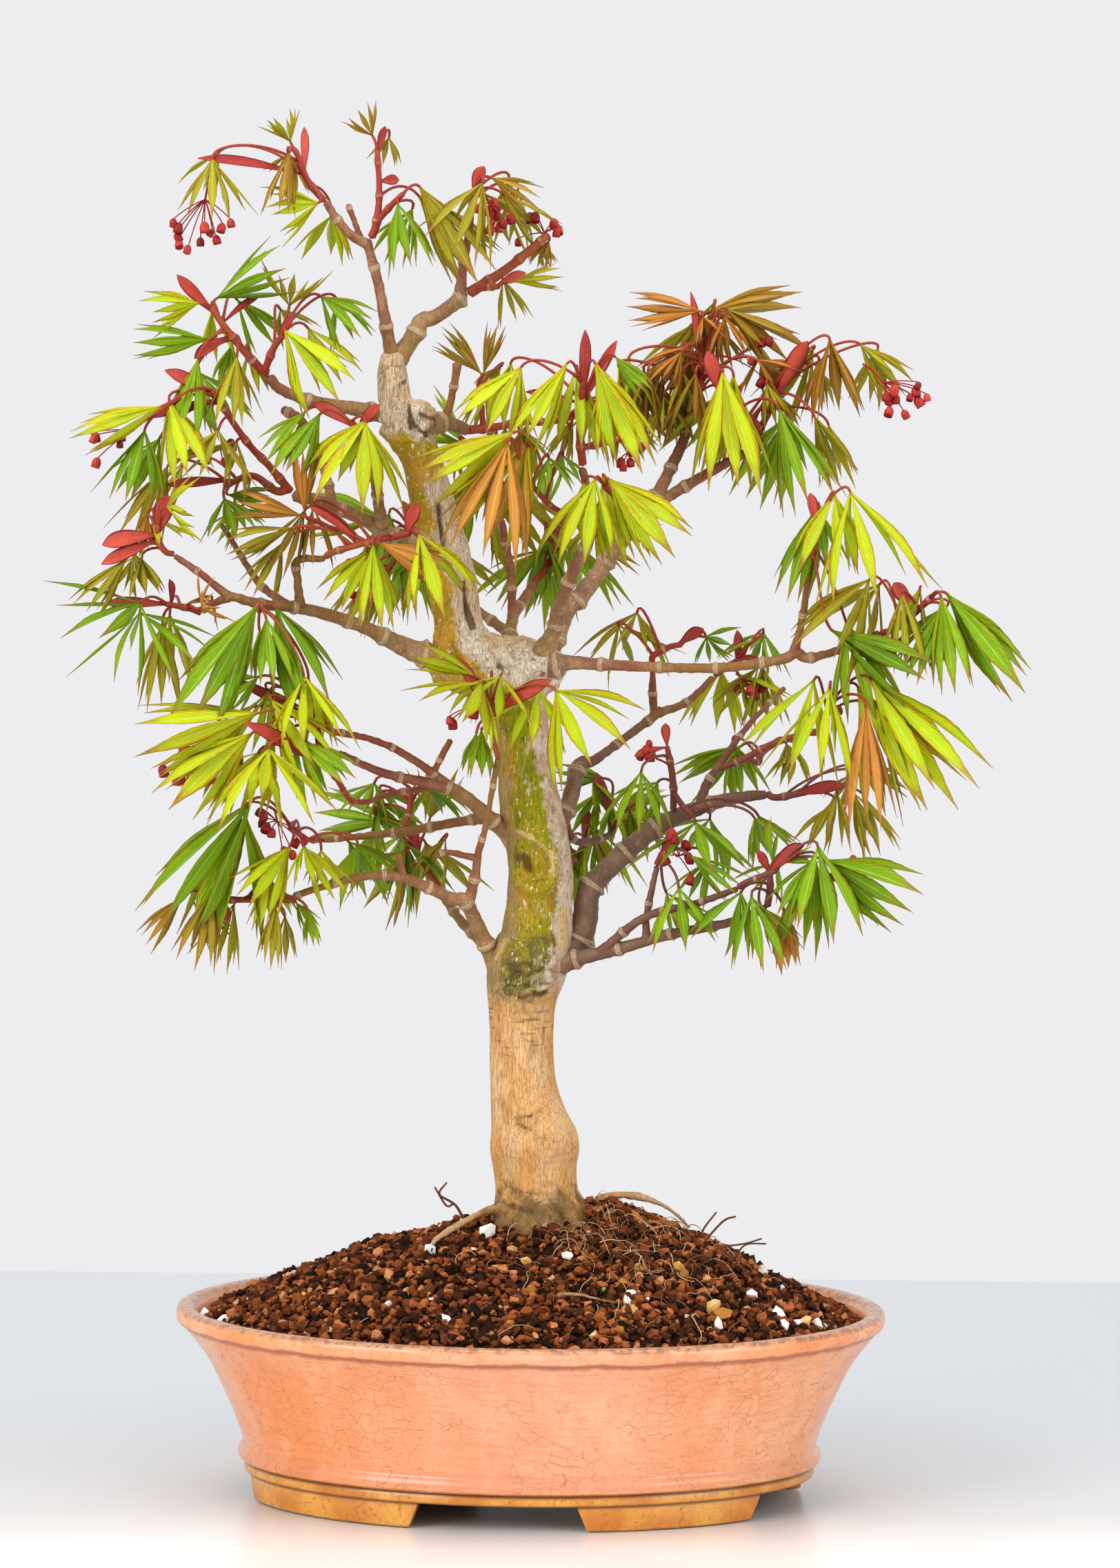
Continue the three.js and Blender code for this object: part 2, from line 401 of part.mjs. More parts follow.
// New season's shoots. stems: routes as above. leaves: [x, y, z of the hub, heading in degrees
// (0 to the right, 90 up), spread of the fingers in degrees, length]. bracts: [x, y, z of the
// tip, width]. flowers: [x, y, z of each hanging cup].
const SHOOTS = {
  crown_left: {
    stems: [[[-93, -7, 426, 1.6], [-99, -9, 433, 1.5], [-104, -11, 442, 1.3]]],
    leaves: [[-139, -18, 443, -90, 60, 30], [-107, -9, 450, 115, 60, 16], [-107, -16, 446, -100, 30, 27],
      [-95, -14, 425, -165, 60, 24]],
    bracts: [[-143, -20, 445, 4.5], [-101, -10, 456, 3.2]],
    flowers: [[-155, -16, 416], [-137, -16, 409]],
  },
  crown_right: {
    stems: [[[-73, -4, 411, 1.8], [-71, -4, 417, 1.7], [-70, -4, 430, 1.3], [-71, -4, 447, 1.2]],
      [[-71, -4, 417, 1.4], [-66, -8, 423, 1.3], [-60, -12, 429, 1.2]]],
    leaves: [[-73, -5, 453, 120, 60, 15], [-62, -14, 425, -75, 45, 31], [-53, -8, 432, -55, 30, 46]],
    bracts: [[-68, -3, 457, 3], [-62, -4, 435, 4]],
  },
  top_right: {
    stems: [[[-32, 3, 421, 1.5], [-31, 2, 429, 1.4], [-29, 2, 433, 1.3]]],
    leaves: [[-23, -6, 436, -25, 35, 22], [-27, -12, 434, -115, 60, 35], [-18, 2, 429, -45, 45, 30]],
    bracts: [[-27, 0, 441, 5]],
    flowers: [[-28, -8, 419], [-15, -8, 419]],
  },
  top_side: {
    stems: [[[-32, 6, 388, 2.4], [-18, 8, 397, 2], [-7, 10, 406, 1.8], [0, 12, 412, 1.5]],
      [[-29, 6, 390, 1.8], [-20, -4, 391, 1.3]]],
    leaves: [[-14, -8, 393, 10, 25, 21], [1, 16, 410, -115, 45, 14]],
    bracts: [[-9, -4, 397, 4]],
    flowers: [[-7, 10, 420]],
  },
  left_high_tip: {
    stems: [[[-116, -10, 354, 2], [-121, -11, 358, 1.8], [-132, -15, 371, 1.6], [-139, -18, 381, 1.4]],
      [[-117, -11, 355, 1.6], [-113, -14, 365, 1.5], [-109, -18, 370, 1.3]]],
    leaves: [[-144, -22, 383, -175, 45, 24], [-137, -12, 385, 30, 40, 36], [-140, -20, 368, 180, 25, 30],
      [-144, -28, 360, -100, 30, 33], [-128, -24, 361, -95, 45, 29], [-108, -26, 372, -50, 45, 37],
      [-107, -8, 382, 80, 80, 24], [-94, -4, 386, -40, 55, 28]],
    bracts: [[-153, -20, 394, 4.5], [-146, -18, 361, 5], [-105, -20, 379, 3.4], [-120, -10, 387, 3.4]],
  },
  left_outer: {
    stems: [[[-106, -13, 305, 2], [-115, -17, 316, 1.6], [-124, -22, 326, 1.5], [-138, -29, 347, 1.3]],
      [[-107, -14, 306, 2], [-112, -12, 305, 1.8], [-122, -8, 311, 1.5], [-133, -16, 307, 1.3]]],
    leaves: [[-135, -36, 331, -105, 80, 28], [-158, -46, 341, -160, 30, 37], [-165, -44, 331, -100, 50, 33],
      [-133, -22, 302, -70, 80, 21], [-157, -16, 315, -115, 40, 36], [-132, -10, 303, -5, 25, 20]],
    bracts: [[-156, -34, 356, 5.5], [-165, -42, 337, 4], [-156, -20, 308, 4]],
    flowers: [[-186, -44, 325], [-143, -20, 320]],
  },
  left_whorl: {
    stems: [[[-153, -44, 280, 1.3], [-156, -46, 281, 1.3], [-159, -48, 286, 1.3], [-159, -50, 292, 1.3]]],
    leaves: [[-155, -56, 300, 5, 85, 22], [-172, -52, 278, -130, 30, 28], [-166, -44, 278, -80, 55, 18],
      [-164, -44, 295, -90, 30, 12]],
    bracts: [[-155, -52, 304, 7], [-181, -54, 285, 7], [-181, -56, 277, 5]],
  },
  left_front: {
    stems: [[[-90, -33, 279, 1.4], [-87, -36, 281, 1.4], [-71, -44, 286, 1.4], [-55, -52, 290, 1.4]]],
    leaves: [[-100, -38, 296, 165, 25, 29], [-104, -40, 291, -165, 25, 28], [-99, -34, 297, 90, 25, 28],
      [-70, -54, 285, -85, 35, 34], [-67, -60, 286, -20, 20, 31], [-51, -62, 290, -65, 60, 39]],
    bracts: [[-96, -40, 301, 4], [-52, -55, 302, 5.5]],
  },
  left_inner: {
    stems: [[[-74, -30, 327, 1.6], [-80, -34, 335, 1.4]]],
    leaves: [[-74, -44, 335, -95, 65, 40], [-93, -36, 338, -120, 35, 30]],
    bracts: [[-69, -40, 342, 4.5], [-95, -32, 343, 5.5]],
  },
  left_long_front: {
    stems: [[[-117, -36, 259, 1.5], [-117, -47, 257, 1.3]]],
    leaves: [[-118, -56, 259, -120, 30, 54], [-114, -50, 254, -80, 45, 31], [-98, -58, 231, -85, 65, 38]],
  },
  left_long_under: {
    stems: [[[-142, -34, 255, 1.3], [-147, -36, 257, 1.3], [-156, -40, 259, 1.2]]],
    leaves: [[-141, -46, 258, 30, 100, 16], [-166, -50, 260, -130, 100, 44], [-158, -30, 251, -90, 30, 37]],
    bracts: [[-154, -40, 269, 3.5], [-180, -46, 260, 4.5]],
  },
  lower_left_top: {
    stems: [[[-85, -37, 206, 1.4], [-89, -42, 208, 1.4], [-95, -50, 211, 1.3]]],
    leaves: [[-117, -66, 216, -165, 40, 53], [-119, -72, 208, -140, 40, 45], [-111, -60, 221, -50, 50, 38],
      [-117, -52, 230, -155, 65, 21]],
    bracts: [[-126, -46, 229, 4]],
    flowers: [[-147, -64, 196], [-136, -64, 188]],
  },
  lower_left_front: {
    stems: [[[-74, -2, 174, 1.2], [-80, -12, 176, 1.2], [-85, -30, 186, 1.2], [-90, -52, 194, 1.3]]],
    leaves: [[-111, -86, 203, -90, 90, 43], [-99, -70, 205, -40, 50, 29]],
    bracts: [[-118, -80, 213, 5.5], [-92, -66, 210, 3.5]],
  },
  lower_left_mid: {
    stems: [[[-93, 26, 155, 1.2], [-99, 10, 157, 1.2], [-105, -10, 164, 1.2]]],
    leaves: [[-121, -34, 176, -125, 35, 60], [-104, -46, 159, -125, 45, 33], [-98, -52, 160, -75, 65, 19],
      [-77, 8, 155, -90, 60, 31]],
    flowers: [[-116, -40, 166]],
  },
  lower_left_back: {
    stems: [[[-58, 17, 161, 1.3], [-56, 22, 167, 1.3], [-55, 26, 177, 1.2]]],
    leaves: [[-71, 34, 179, -105, 80, 24], [-48, 30, 178, -75, 85, 26], [-70, 44, 170, -60, 60, 28]],
  },
  low_tip: {
    stems: [[[-103, -34, 136, 1.4], [-114, -36, 136, 1.4], [-129, -40, 136, 1.3], [-135, -43, 136, 1.2]]],
    leaves: [[-136, -50, 140, -105, 45, 33], [-148, -48, 138, -130, 25, 24], [-109, -52, 135, -95, 25, 25],
      [-112, -46, 146, -100, 30, 21], [-96, -44, 132, -80, 30, 14]],
    bracts: [[-130, -44, 128, 4]],
  },
  front_pair: {
    stems: [[[-18, -31, 196, 1.2], [-20, -35, 204, 1.2], [-21, -38, 211, 1.2], [-22, -40, 220, 1.2]]],
    leaves: [[-25, -46, 228, -120, 95, 34], [-28, -44, 231, 155, 25, 27], [-25, -28, 207, -90, 30, 21],
      [6, -58, 226, -50, 75, 42]],
    bracts: [[-34, -46, 238, 4.5], [2, -54, 230, 6]],
    flowers: [[-38, -46, 212], [-30, -50, 214]],
  },
  centre_top: {
    stems: [[[16, -27, 318, 1.8], [15, -28, 327, 1.8], [15, -29, 337, 1.8], [16, -31, 352, 1.6]],
      [[15, -28, 325, 1.5], [22, -20, 326, 1.5], [35, -8, 329, 1.3]]],
    leaves: [[-10, -26, 358, -120, 50, 34], [9, -36, 360, -120, 25, 38], [21, -44, 360, -65, 30, 46],
      [29, -34, 363, -45, 25, 20], [32, -6, 338, -80, 45, 19]],
    bracts: [[17, -32, 373, 4.5], [29, -32, 369, 4], [-8, -20, 349, 3.5]],
    flowers: [[38, -5, 320]],
  },
  centre_back: {
    stems: [[[-32, 19, 330, 2.1], [-21, 28, 331, 1.8], [-9, 38, 333, 1.6], [3, 46, 333, 1.5],
      [16, 52, 336, 1.4]],
      [[-26, 24, 331, 1.4], [-27, 19, 341, 1.2], [-28, 15, 350, 1.2]]],
    leaves: [[20, 56, 341, -80, 45, 22], [25, 50, 341, -45, 30, 29], [12, 60, 334, -110, 30, 20],
      [-27, 12, 354, 135, 25, 25], [-26, 18, 354, 75, 25, 21], [-8, 48, 331, -100, 50, 30],
      [-20, 40, 330, -120, 45, 28]],
    bracts: [[4, 48, 344, 4]],
  },
  centre_left: {
    stems: [[[8, -31, 298, 1.2], [2, -36, 302, 1.2], [-5, -42, 310, 1.2], [-10, -46, 317, 1.2]]],
    leaves: [[-13, -58, 332, -150, 30, 44], [-15, -66, 328, -100, 45, 54], [2, -34, 321, -85, 80, 19]],
    bracts: [[-16, -50, 310, 4], [-8, -40, 327, 3.5]],
  },
  centre_right: {
    stems: [[[35, -35, 297, 1.3], [30, -42, 305, 1.3], [25, -48, 310, 1.3]]],
    leaves: [[21, -56, 313, -100, 50, 38], [27, -54, 313, -45, 40, 40]],
  },
  right_crown: {
    stems: [[[59, 29, 332, 1.9], [64, 26, 343, 1.6], [66, 24, 356, 1.5], [65, 22, 372, 1.4]]],
    leaves: [[63, 18, 380, 145, 50, 30], [67, 26, 380, 5, 30, 43], [66, 14, 379, -75, 60, 17],
      [60, 14, 366, -150, 25, 25], [49, 20, 356, -130, 70, 24], [58, 12, 355, -85, 55, 27]],
    bracts: [[63, 20, 389, 4]],
    flowers: [[91, 18, 360]],
  },
  right_second: {
    stems: [[[91, 24, 326, 1.6], [89, 18, 334, 1.5], [80, 8, 341, 1.4], [72, 0, 348, 1.3]],
      [[90, 22, 329, 1.6], [94, 22, 339, 1.4], [96, 18, 350, 1.3]]],
    leaves: [[74, -12, 356, -85, 40, 52], [98, -6, 341, -70, 35, 47], [113, 4, 338, -65, 30, 33],
      [93, 10, 351, -75, 40, 20], [119, 2, 370, -80, 40, 36], [132, 8, 368, -45, 40, 28],
        [115, 14, 361, -95, 30, 22]],
    bracts: [[68, -4, 364, 6], [110, 8, 370, 6.5]],
    flowers: [[143, 4, 346], [153, 4, 347]],
  },
  right_up: {
    stems: [[[111, -25, 277, 1.4], [112, -26, 284, 1.4], [114, -27, 297, 1.3]]],
    leaves: [[127, -38, 308, -75, 60, 53], [114, -18, 301, -110, 25, 37], [121, -34, 250, -25, 30, 45]],
    bracts: [[111, -24, 307, 4]],
  },
  right_tip: {
    stems: [[[141, -25, 249, 1.5], [147, -26, 251, 1.4], [155, -28, 258, 1.4], [162, -30, 265, 1.3]]],
    leaves: [[168, -34, 266, -50, 25, 46], [165, -42, 265, -80, 25, 39], [149, -34, 266, -85, 40, 35],
      [136, -20, 271, -125, 55, 44]],
    bracts: [[146, -22, 270, 5.5]],
  },
  right_front: {
    stems: [[[76, 20, 188, 1.5], [87, 17, 193, 1.5], [97, 12, 199, 1.4], [109, 4, 204, 1.3],
      [117, -4, 207, 1.3],
      [120, -24, 219, 1.2]], [[87, 17, 193, 1.3], [92, 24, 190, 1.2], [93, 28, 194, 1.2]]],
    leaves: [[119, -44, 227, -100, 55, 44], [137, -36, 230, -55, 40, 60], [134, -50, 220, -90, 25, 49],
      [85, 40, 196, -145, 30, 32], [108, 34, 196, -95, 60, 20]],
    bracts: [[126, -16, 216, 4]],
  },
  right_hanging: {
    stems: [[[96, 21, 177, 1.6], [100, 18, 176, 1.5], [112, 10, 179, 1.3]]],
    leaves: [[125, 2, 179, -100, 45, 27], [132, 8, 179, -60, 40, 31], [139, 14, 190, -25, 30, 22]],
    bracts: [[126, -4, 184, 5]],
  },
  right_back_top: {
    stems: [[[47, 40, 230, 1.4], [47, 38, 234, 1.4], [54, 38, 238, 1.3], [59, 38, 239, 1.2]]],
    leaves: [[40, 46, 252, -100, 80, 34], [69, 44, 242, -10, 60, 18]],
    bracts: [[68, 38, 246, 5]],
  },
  right_back_out: {
    stems: [[[74, 67, 224, 1.3], [79, 70, 227, 1.2], [86, 72, 232, 1.2]]],
    leaves: [[95, 78, 242, -105, 80, 24], [94, 64, 229, -80, 35, 30], [77, 82, 225, -95, 50, 30]],
    bracts: [[84, 78, 242, 4]],
    flowers: [[89, 62, 217]],
  },
  right_mid: {
    stems: [[[56, 13, 171, 1.5], [56, 11, 179, 1.5], [55, 8, 188, 1.5], [53, 4, 198, 1.2]],
      [[56, 11, 178, 1.4], [60, 5, 173, 1.3], [64, 1, 169, 1.2]]],
    leaves: [[42, -2, 188, -90, 60, 30], [65, -4, 167, -85, 100, 36], [90, 0, 169, -60, 60, 24]],
    bracts: [[39, 0, 195, 3.5], [52, 4, 208, 3.5]],
    flowers: [[42, 8, 196]],
  },
  right_inner: {
    stems: [[[31, 57, 158, 1.3], [30, 58, 164, 1.3]]],
    leaves: [[25, 62, 174, -120, 40, 27], [27, 68, 179, 175, 35, 22], [38, 62, 166, -80, 30, 24]],
    bracts: [[24, 60, 182, 4]],
  },
  right_low_mid: {
    stems: [[[49, -12, 150, 1.3], [51, -14, 155, 1.2]]],
    leaves: [[58, -28, 142, -85, 65, 30], [63, -24, 155, -35, 30, 25]],
    bracts: [[56, -10, 163, 4]],
    flowers: [[46, -18, 160], [61, -14, 164]],
  },
  right_low_tip: {
    stems: [[[95, -31, 135, 1.6], [96, -31, 142, 1.4], [96, -30, 150, 1.2]]],
    leaves: [[97, -30, 153, 60, 75, 22], [88, -42, 140, -80, 60, 32], [102, -30, 133, -85, 25, 24]],
    bracts: [[91, -30, 158, 3.5]],
  },
  right_low_front: {
    stems: [[[83, -33, 143, 1.3], [87, -37, 146, 1.2], [98, -44, 151, 1.2]]],
    leaves: [[115, -54, 162, -85, 55, 41], [118, -48, 156, -25, 40, 42]],
    bracts: [[108, -50, 163, 6]],
    flowers: [[125, -52, 147], [139, -48, 145]],
  },
  back_low_left: {
    stems: [[[-44, 70, 131, 1.5], [-50, 76, 140, 1.3], [-56, 80, 150, 1.2]]],
    leaves: [[-60, 88, 152, -110, 60, 40], [-50, 90, 148, -70, 60, 38], [-66, 78, 158, 170, 40, 34],
      [-48, 76, 160, 80, 50, 26]],
    bracts: [[-58, 78, 162, 4.5]],
  },
  back_low_right: {
    stems: [[[10, 60, 137, 1.4], [16, 68, 146, 1.2], [20, 72, 154, 1.2]]],
    leaves: [[24, 80, 156, -80, 60, 40], [12, 84, 150, -110, 60, 38], [28, 74, 160, 10, 45, 32]],
    bracts: [[20, 72, 166, 4]],
  },
  back_mid: {
    stems: [[[-4, 71, 263, 1.6], [2, 78, 270, 1.3], [6, 84, 280, 1.2]]],
    leaves: [[10, 92, 282, -80, 60, 42], [0, 94, 276, -110, 60, 40], [18, 86, 288, -20, 50, 34],
      [0, 88, 292, 100, 50, 26]],
    bracts: [[8, 84, 293, 4.5]],
  },
  back_left: {
    stems: [[[-44, 60, 269, 1.4], [-52, 68, 276, 1.2], [-58, 72, 284, 1.2]]],
    leaves: [[-64, 80, 284, -110, 60, 42], [-52, 84, 280, -80, 60, 38], [-70, 70, 290, 175, 40, 34],
      [-72, 46, 270, -115, 40, 31], [-58, 50, 276, -50, 40, 28]],
    bracts: [[-60, 72, 297, 4.5]],
    flowers: [[-80, 62, 268]],
  },
  back_top: {
    stems: [[[-18, 54, 291, 1.3], [-20, 58, 302, 1.2], [-24, 60, 312, 1.2]]],
    leaves: [[-28, 68, 312, -105, 60, 40], [-18, 70, 306, -70, 60, 38], [-34, 62, 322, 140, 50, 28]],
    bracts: [[-24, 60, 325, 4]],
  },
};

// ---- Wood ----
function limbs(routes, sides, grow) {
  return join(routes.map((route) => tube(route.map(grown), sides, grow)));
}

function trunkSolid(grow = 0) {
  const { stem, ...others } = TRUNK;
  return limbs([stem], TRUNK_SIDES, grow).add(limbs(Object.values(others), BRANCH_SIDES + 2, grow));
}

// ---- Leaves, bracts and flowers ----
const radians = (degrees) => (degrees * Math.PI) / 180;
const FINGER_STEP = 60;           // turn between fingers, round the leaf's axis
const SIDE_SHORTENING = 0.19;     // each finger away from the middle one is this much shorter
const NOTCH_DEPTH = 0.3;          // share of a finger's length where it joins its neighbour
const END_NOTCH = 0.15;
const NARROW_SPREAD = 50;         // a leaf that is folded closer than this shows three fingers
const OUTWARD_LEAN = 0.25;        // leaves lean away from the trunk
const PETIOLE_ROOM = 15;          // least angle between the petiole and the fingers

// A leaf hangs like a half-closed umbrella: pointed fingers round an axis, on a thin petiole.
// Returns null where the petiole would have to pass through the fingers.
function leafSolid(base, hub, heading, spread, length, grow) {
  const side = hub.y < 0 ? -1 : 1;
  const turn = radians(heading);
  const axis = new THREE.Vector3(Math.cos(turn), side * OUTWARD_LEAN, Math.sin(turn)).normalize();
  const across = new THREE.Vector3(-Math.sin(turn), 0, Math.cos(turn));
  const outward = axis.clone().cross(across);
  outward.multiplyScalar(outward.y * side > 0 ? 1 : -1);
  const open = radians(THREE.MathUtils.clamp(spread / 2, 14, 50));
  const petiole = base.clone().sub(hub).normalize();
  if (petiole.angleTo(axis) < open + radians(PETIOLE_ROOM)) {
    return null;
  }
  const reach = (degrees, distance) => hub.clone()
    .addScaledVector(axis, distance * Math.cos(open))
    .addScaledVector(across, distance * Math.sin(open) * Math.sin(radians(degrees)))
    .addScaledVector(outward, distance * Math.sin(open) * Math.cos(radians(degrees)));
  const half = spread < NARROW_SPREAD ? 1 : 2;
  const rim = [];
  for (let place = -2 * half - 1; place <= 2 * half + 1; place += 1) {
    const isTip = place % 2 === 0;
    const isEnd = Math.abs(place) === 2 * half + 1;
    const share = 1 - SIDE_SHORTENING * Math.abs(place / 2);
    const depth = isEnd ? END_NOTCH : NOTCH_DEPTH;
    rim.push(reach((place * FINGER_STEP) / 2, length * (isTip ? share : depth) + grow));
  }
  const thick = LEAF_THICKNESS / 2 + grow;
  const top = hub.clone().addScaledVector(axis, -thick);
  const tilt = new THREE.Quaternion().setFromUnitVectors(axis.clone().negate(), petiole);
  const right = across.clone().applyQuaternion(tilt);
  const front = outward.clone().applyQuaternion(tilt);
  const first = -(half + 0.5) * FINGER_STEP;
  const ringAt = (centre) => [0, 1, 2].map((i) => {
    const angle = radians(first + (i + 0.5) * 120);
    return centre.clone()
      .addScaledVector(right, (PETIOLE_RADIUS + grow) * Math.sin(angle))
      .addScaledVector(front, (PETIOLE_RADIUS + grow) * Math.cos(angle));
  });
  const topRing = ringAt(top);
  const baseRing = ringAt(base);
  const points = [hub.clone().addScaledVector(axis, thick), ...topRing, ...baseRing, ...rim];
  const atRim = (i) => 7 + (i % rim.length);
  const atRing = (i) => 1 + (Math.floor((3 * i) / rim.length) % 3);
  const triangles = rim.flatMap((_, i) => {
    const fan = [[0, atRim(i + 1), atRim(i)], [atRing(i), atRim(i), atRim(i + 1)]];
    return atRing(i) === atRing(i + 1) ? fan : [...fan, [atRing(i), atRim(i + 1), atRing(i + 1)]];
  });
  for (const [i, j] of [[0, 1], [1, 2], [2, 0]]) {
    triangles.push([4 + i, 1 + i, 1 + j], [4 + i, 1 + j, 4 + j]);
  }
  triangles.push([4, 5, 6]);
  return solidFrom(points.map((point) => point.toArray()), triangles);
}

// A flat spindle: narrow at both ends, widest past its middle.
function bractSolid(base, tip, width, grow) {
  const way = tip.clone().sub(base);
  const middle = base.clone().addScaledVector(way, BRACT_WIDEST);
  const flat = new THREE.Vector3(way.z, 0, -way.x).normalize().multiplyScalar(width / 2 + grow);
  const thick = way.clone().cross(flat).normalize().multiplyScalar(BRACT_THICKNESS / 2 + grow);
  const points = [
    base,
    tip,
    middle.clone().add(flat),
    middle.clone().sub(flat),
    middle.clone().add(thick),
    middle.clone().sub(thick),
  ];
  const rim = [2, 4, 3, 5];
  const triangles = rim.flatMap((corner, i) => {
    const next = rim[(i + 1) % rim.length];
    return [[0, next, corner], [1, corner, next]];
  });
  return solidFrom(points.map((point) => point.toArray()), triangles);
}

// A hanging cup on its thread, which widens only at its end.
function flowerSolid(base, cup, grow) {
  const stalk = base.clone().sub(cup);
  const share = Math.min(CUP_SHARE, (CUP_LENGTH * FLOWER_RADIUS) / stalk.length());
  const neck = cup.clone().addScaledVector(stalk, share);
  const route = [[base, PETIOLE_RADIUS], [neck, PETIOLE_RADIUS], [cup, FLOWER_RADIUS]];
  return tube(route.map(([point, size]) => [...point.toArray(), size]), PETIOLE_SIDES, grow);
}

// ---- Keeping clear of what already grows there ----
const placed = [];

function keep(owner, solid, body = solid) {
  placed.push({ owner, solid, body, box: solid.boundingBox() });
  return solid;
}

// Free of every other owner's pieces, and with its body (the piece without its stalk) free of
// the bodies that the same owner already has.
function isFree(owner, solid, body) {
  const box = solid.boundingBox();
  return placed.every((other) => !boxesMeet(box, other.box)
    || (other.owner === owner ? other.body.intersect(body) : other.solid.intersect(solid)).isEmpty());
}

const SHIFTS = [[0, 0, 0], [0, -5, 0], [0, 5, 0], [5, 0, 2], [-5, 0, 2], [0, -10, 3], [0, 10, 3],
  [8, -6, 0],
  [-8, -6, 0], [8, 6, 4], [-8, 6, 4], [0, -16, 4], [0, 16, 4], [12, 0, 6], [-12, 0, 6], [0, -24, 0],
    [0, 24, 0]]
  .map((shift) => new THREE.Vector3(...shift).multiplyScalar(treeScale));
const SWINGS = [0, 12, -12, 24, -24, 38, -38, 55, -55];
const SIZES = [1, 0.8, 0.6, 0.4];
const STUB = 3;                   // length of stalk that counts as a piece's body

// Tries each place, turn and size in order until make(base, ...) gives a solid with room round it.
// Its stalk starts at the nearest of the free places, which it then takes.
function firstFree(owner, places, point, make) {
  for (const size of SIZES) {
    for (const shift of SHIFTS) {
      for (const swing of SWINGS) {
        const end = vectorOf(point).add(shift);
        const base = nearest(places, end);
        const stub = end.clone().add(base.clone().sub(end).clampLength(0, STUB));
        const roomy = make(base, end, swing, size, CLEARANCE);
        if (roomy && isFree(owner, roomy, make(stub, end, swing, size, CLEARANCE))) {
          places.splice(places.indexOf(base), places.length > 1 ? 1 : 0);
          return keep(owner, make(base, end, swing, size, 0), make(stub, end, swing, size, 0));
        }
      }
    }
  }
  throw new Error(`no room on ${owner}`);
}

function vectorOf(point) {
  return new THREE.Vector3(...grown(point).slice(0, 3));
}

const ATTACH_STEP = 2.4;          // stalks leave a stem at least this far apart
const ATTACH_FROM = 0.4;          // share of a stem's first stretch that carries no stalks

// The places along a shoot's stems where stalks can start.
function attachPlaces(stems) {
  return stems.flatMap((stem) => stem.slice(1).flatMap((point, i) => {
    const from = vectorOf(stem[i]);
    const to = vectorOf(point);
    const count = Math.max(1, Math.floor(from.distanceTo(to) / ATTACH_STEP));
    return Array.from({ length: count }, (_, k) => (k + 1) / count)
      .filter((share) => i > 0 || share > ATTACH_FROM)
      .map((share) => from.clone().lerp(to, share));
  }));
}

function nearest(places, target) {
  return places.reduce((best, next) => (next.distanceTo(target) < best.distanceTo(target) ? next : best));
}

function stemsSolid(stems, wood) {
  const whole = limbs(stems, STEM_SIDES, 0);
  const near = wood.filter((other) => boxesMeet(other.boundingBox(), whole.boundingBox()));
  return largest(near.reduce((rest, other) => rest.subtract(other), whole));
}

function shootSolid(name, stemWood, { stems, leaves = [], bracts = [], flowers = [] }) {
  const places = attachPlaces(stems);
  const leafParts = leaves.map(([x, y, z, heading, spread, length]) => (
    firstFree(name, places, [x, y, z], (base, hub, swing, size, grow) => (
      leafSolid(base, hub, heading + swing, spread, length * size * treeScale, grow)))));
  const bractParts = bracts.map(([x, y, z, width]) => (
    firstFree(name, places, [x, y, z], (base, tip, swing, size, grow) => (
      bractSolid(base, tip, width * size * treeScale, grow)))));
  const flowerParts = flowers.map((cup) => (
    firstFree(name, places, cup, (base, place, swing, size, grow) => flowerSolid(base, place, grow))));
  return largest(join([stemWood, ...leafParts, ...bractParts, ...flowerParts]));
}

// ---- The object ----
const GLAZE = { color: 0xd27850, roughness: 0.3, metalness: 0 };
const NETTING = { color: 0x3c3c3a, roughness: 0.6, metalness: 0 };
const EARTH = { color: 0x5a4030, roughness: 1, metalness: 0 };
const BARK = { color: 0x9a7a52, roughness: 0.95, metalness: 0 };
const TWIG_BARK = { color: 0x7d6148, roughness: 0.9, metalness: 0 };
const FOLIAGE = { color: 0x93a038, roughness: 0.6, metalness: 0 };

const bonsai = new THREE.Group();
bonsai.name = 'bonsai';

bonsai.add(meshOf('pot', potSolid(), GLAZE));
drainPlaces().forEach((x, i) => {
  bonsai.add(meshOf(`drain_mesh_${['left', 'right'][i]}`, drainMesh(x), NETTING));
});
bonsai.add(meshOf('soil', soilSolid(trunkSolid(CLEARANCE)), EARTH));

const trunk = keep('trunk', trunkSolid());
bonsai.add(meshOf('trunk', trunk, BARK));

// Room kept free round the wood that is already there, for what grows from it.
const woodRoom = [trunkSolid(CLEARANCE)];
for (const [name, routes] of Object.entries(BRANCHES)) {
  const whole = limbs(routes, BRANCH_SIDES, 0);
  const near = woodRoom.filter((other) => boxesMeet(other.boundingBox(), whole.boundingBox()));
  const branch = keep(`branch_${name}`, largest(near.reduce((rest, other) => rest.subtract(other), whole)));
  bonsai.add(meshOf(`branch_${name}`, branch, TWIG_BARK));
  woodRoom.push(limbs(routes, BRANCH_SIDES, CLEARANCE));
}

const shootStems = Object.entries(SHOOTS).map(([name, shoot]) => (
  [name, keep(name, stemsSolid(shoot.stems, woodRoom)), shoot]));
for (const [name, stemWood, shoot] of shootStems) {
  bonsai.add(meshOf(`shoot_${name}`, shootSolid(name, stemWood, shoot), FOLIAGE));
}

export default bonsai;
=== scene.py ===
import math

import bpy
import bmesh
import numpy as np
from mathutils import Matrix, Vector, noise


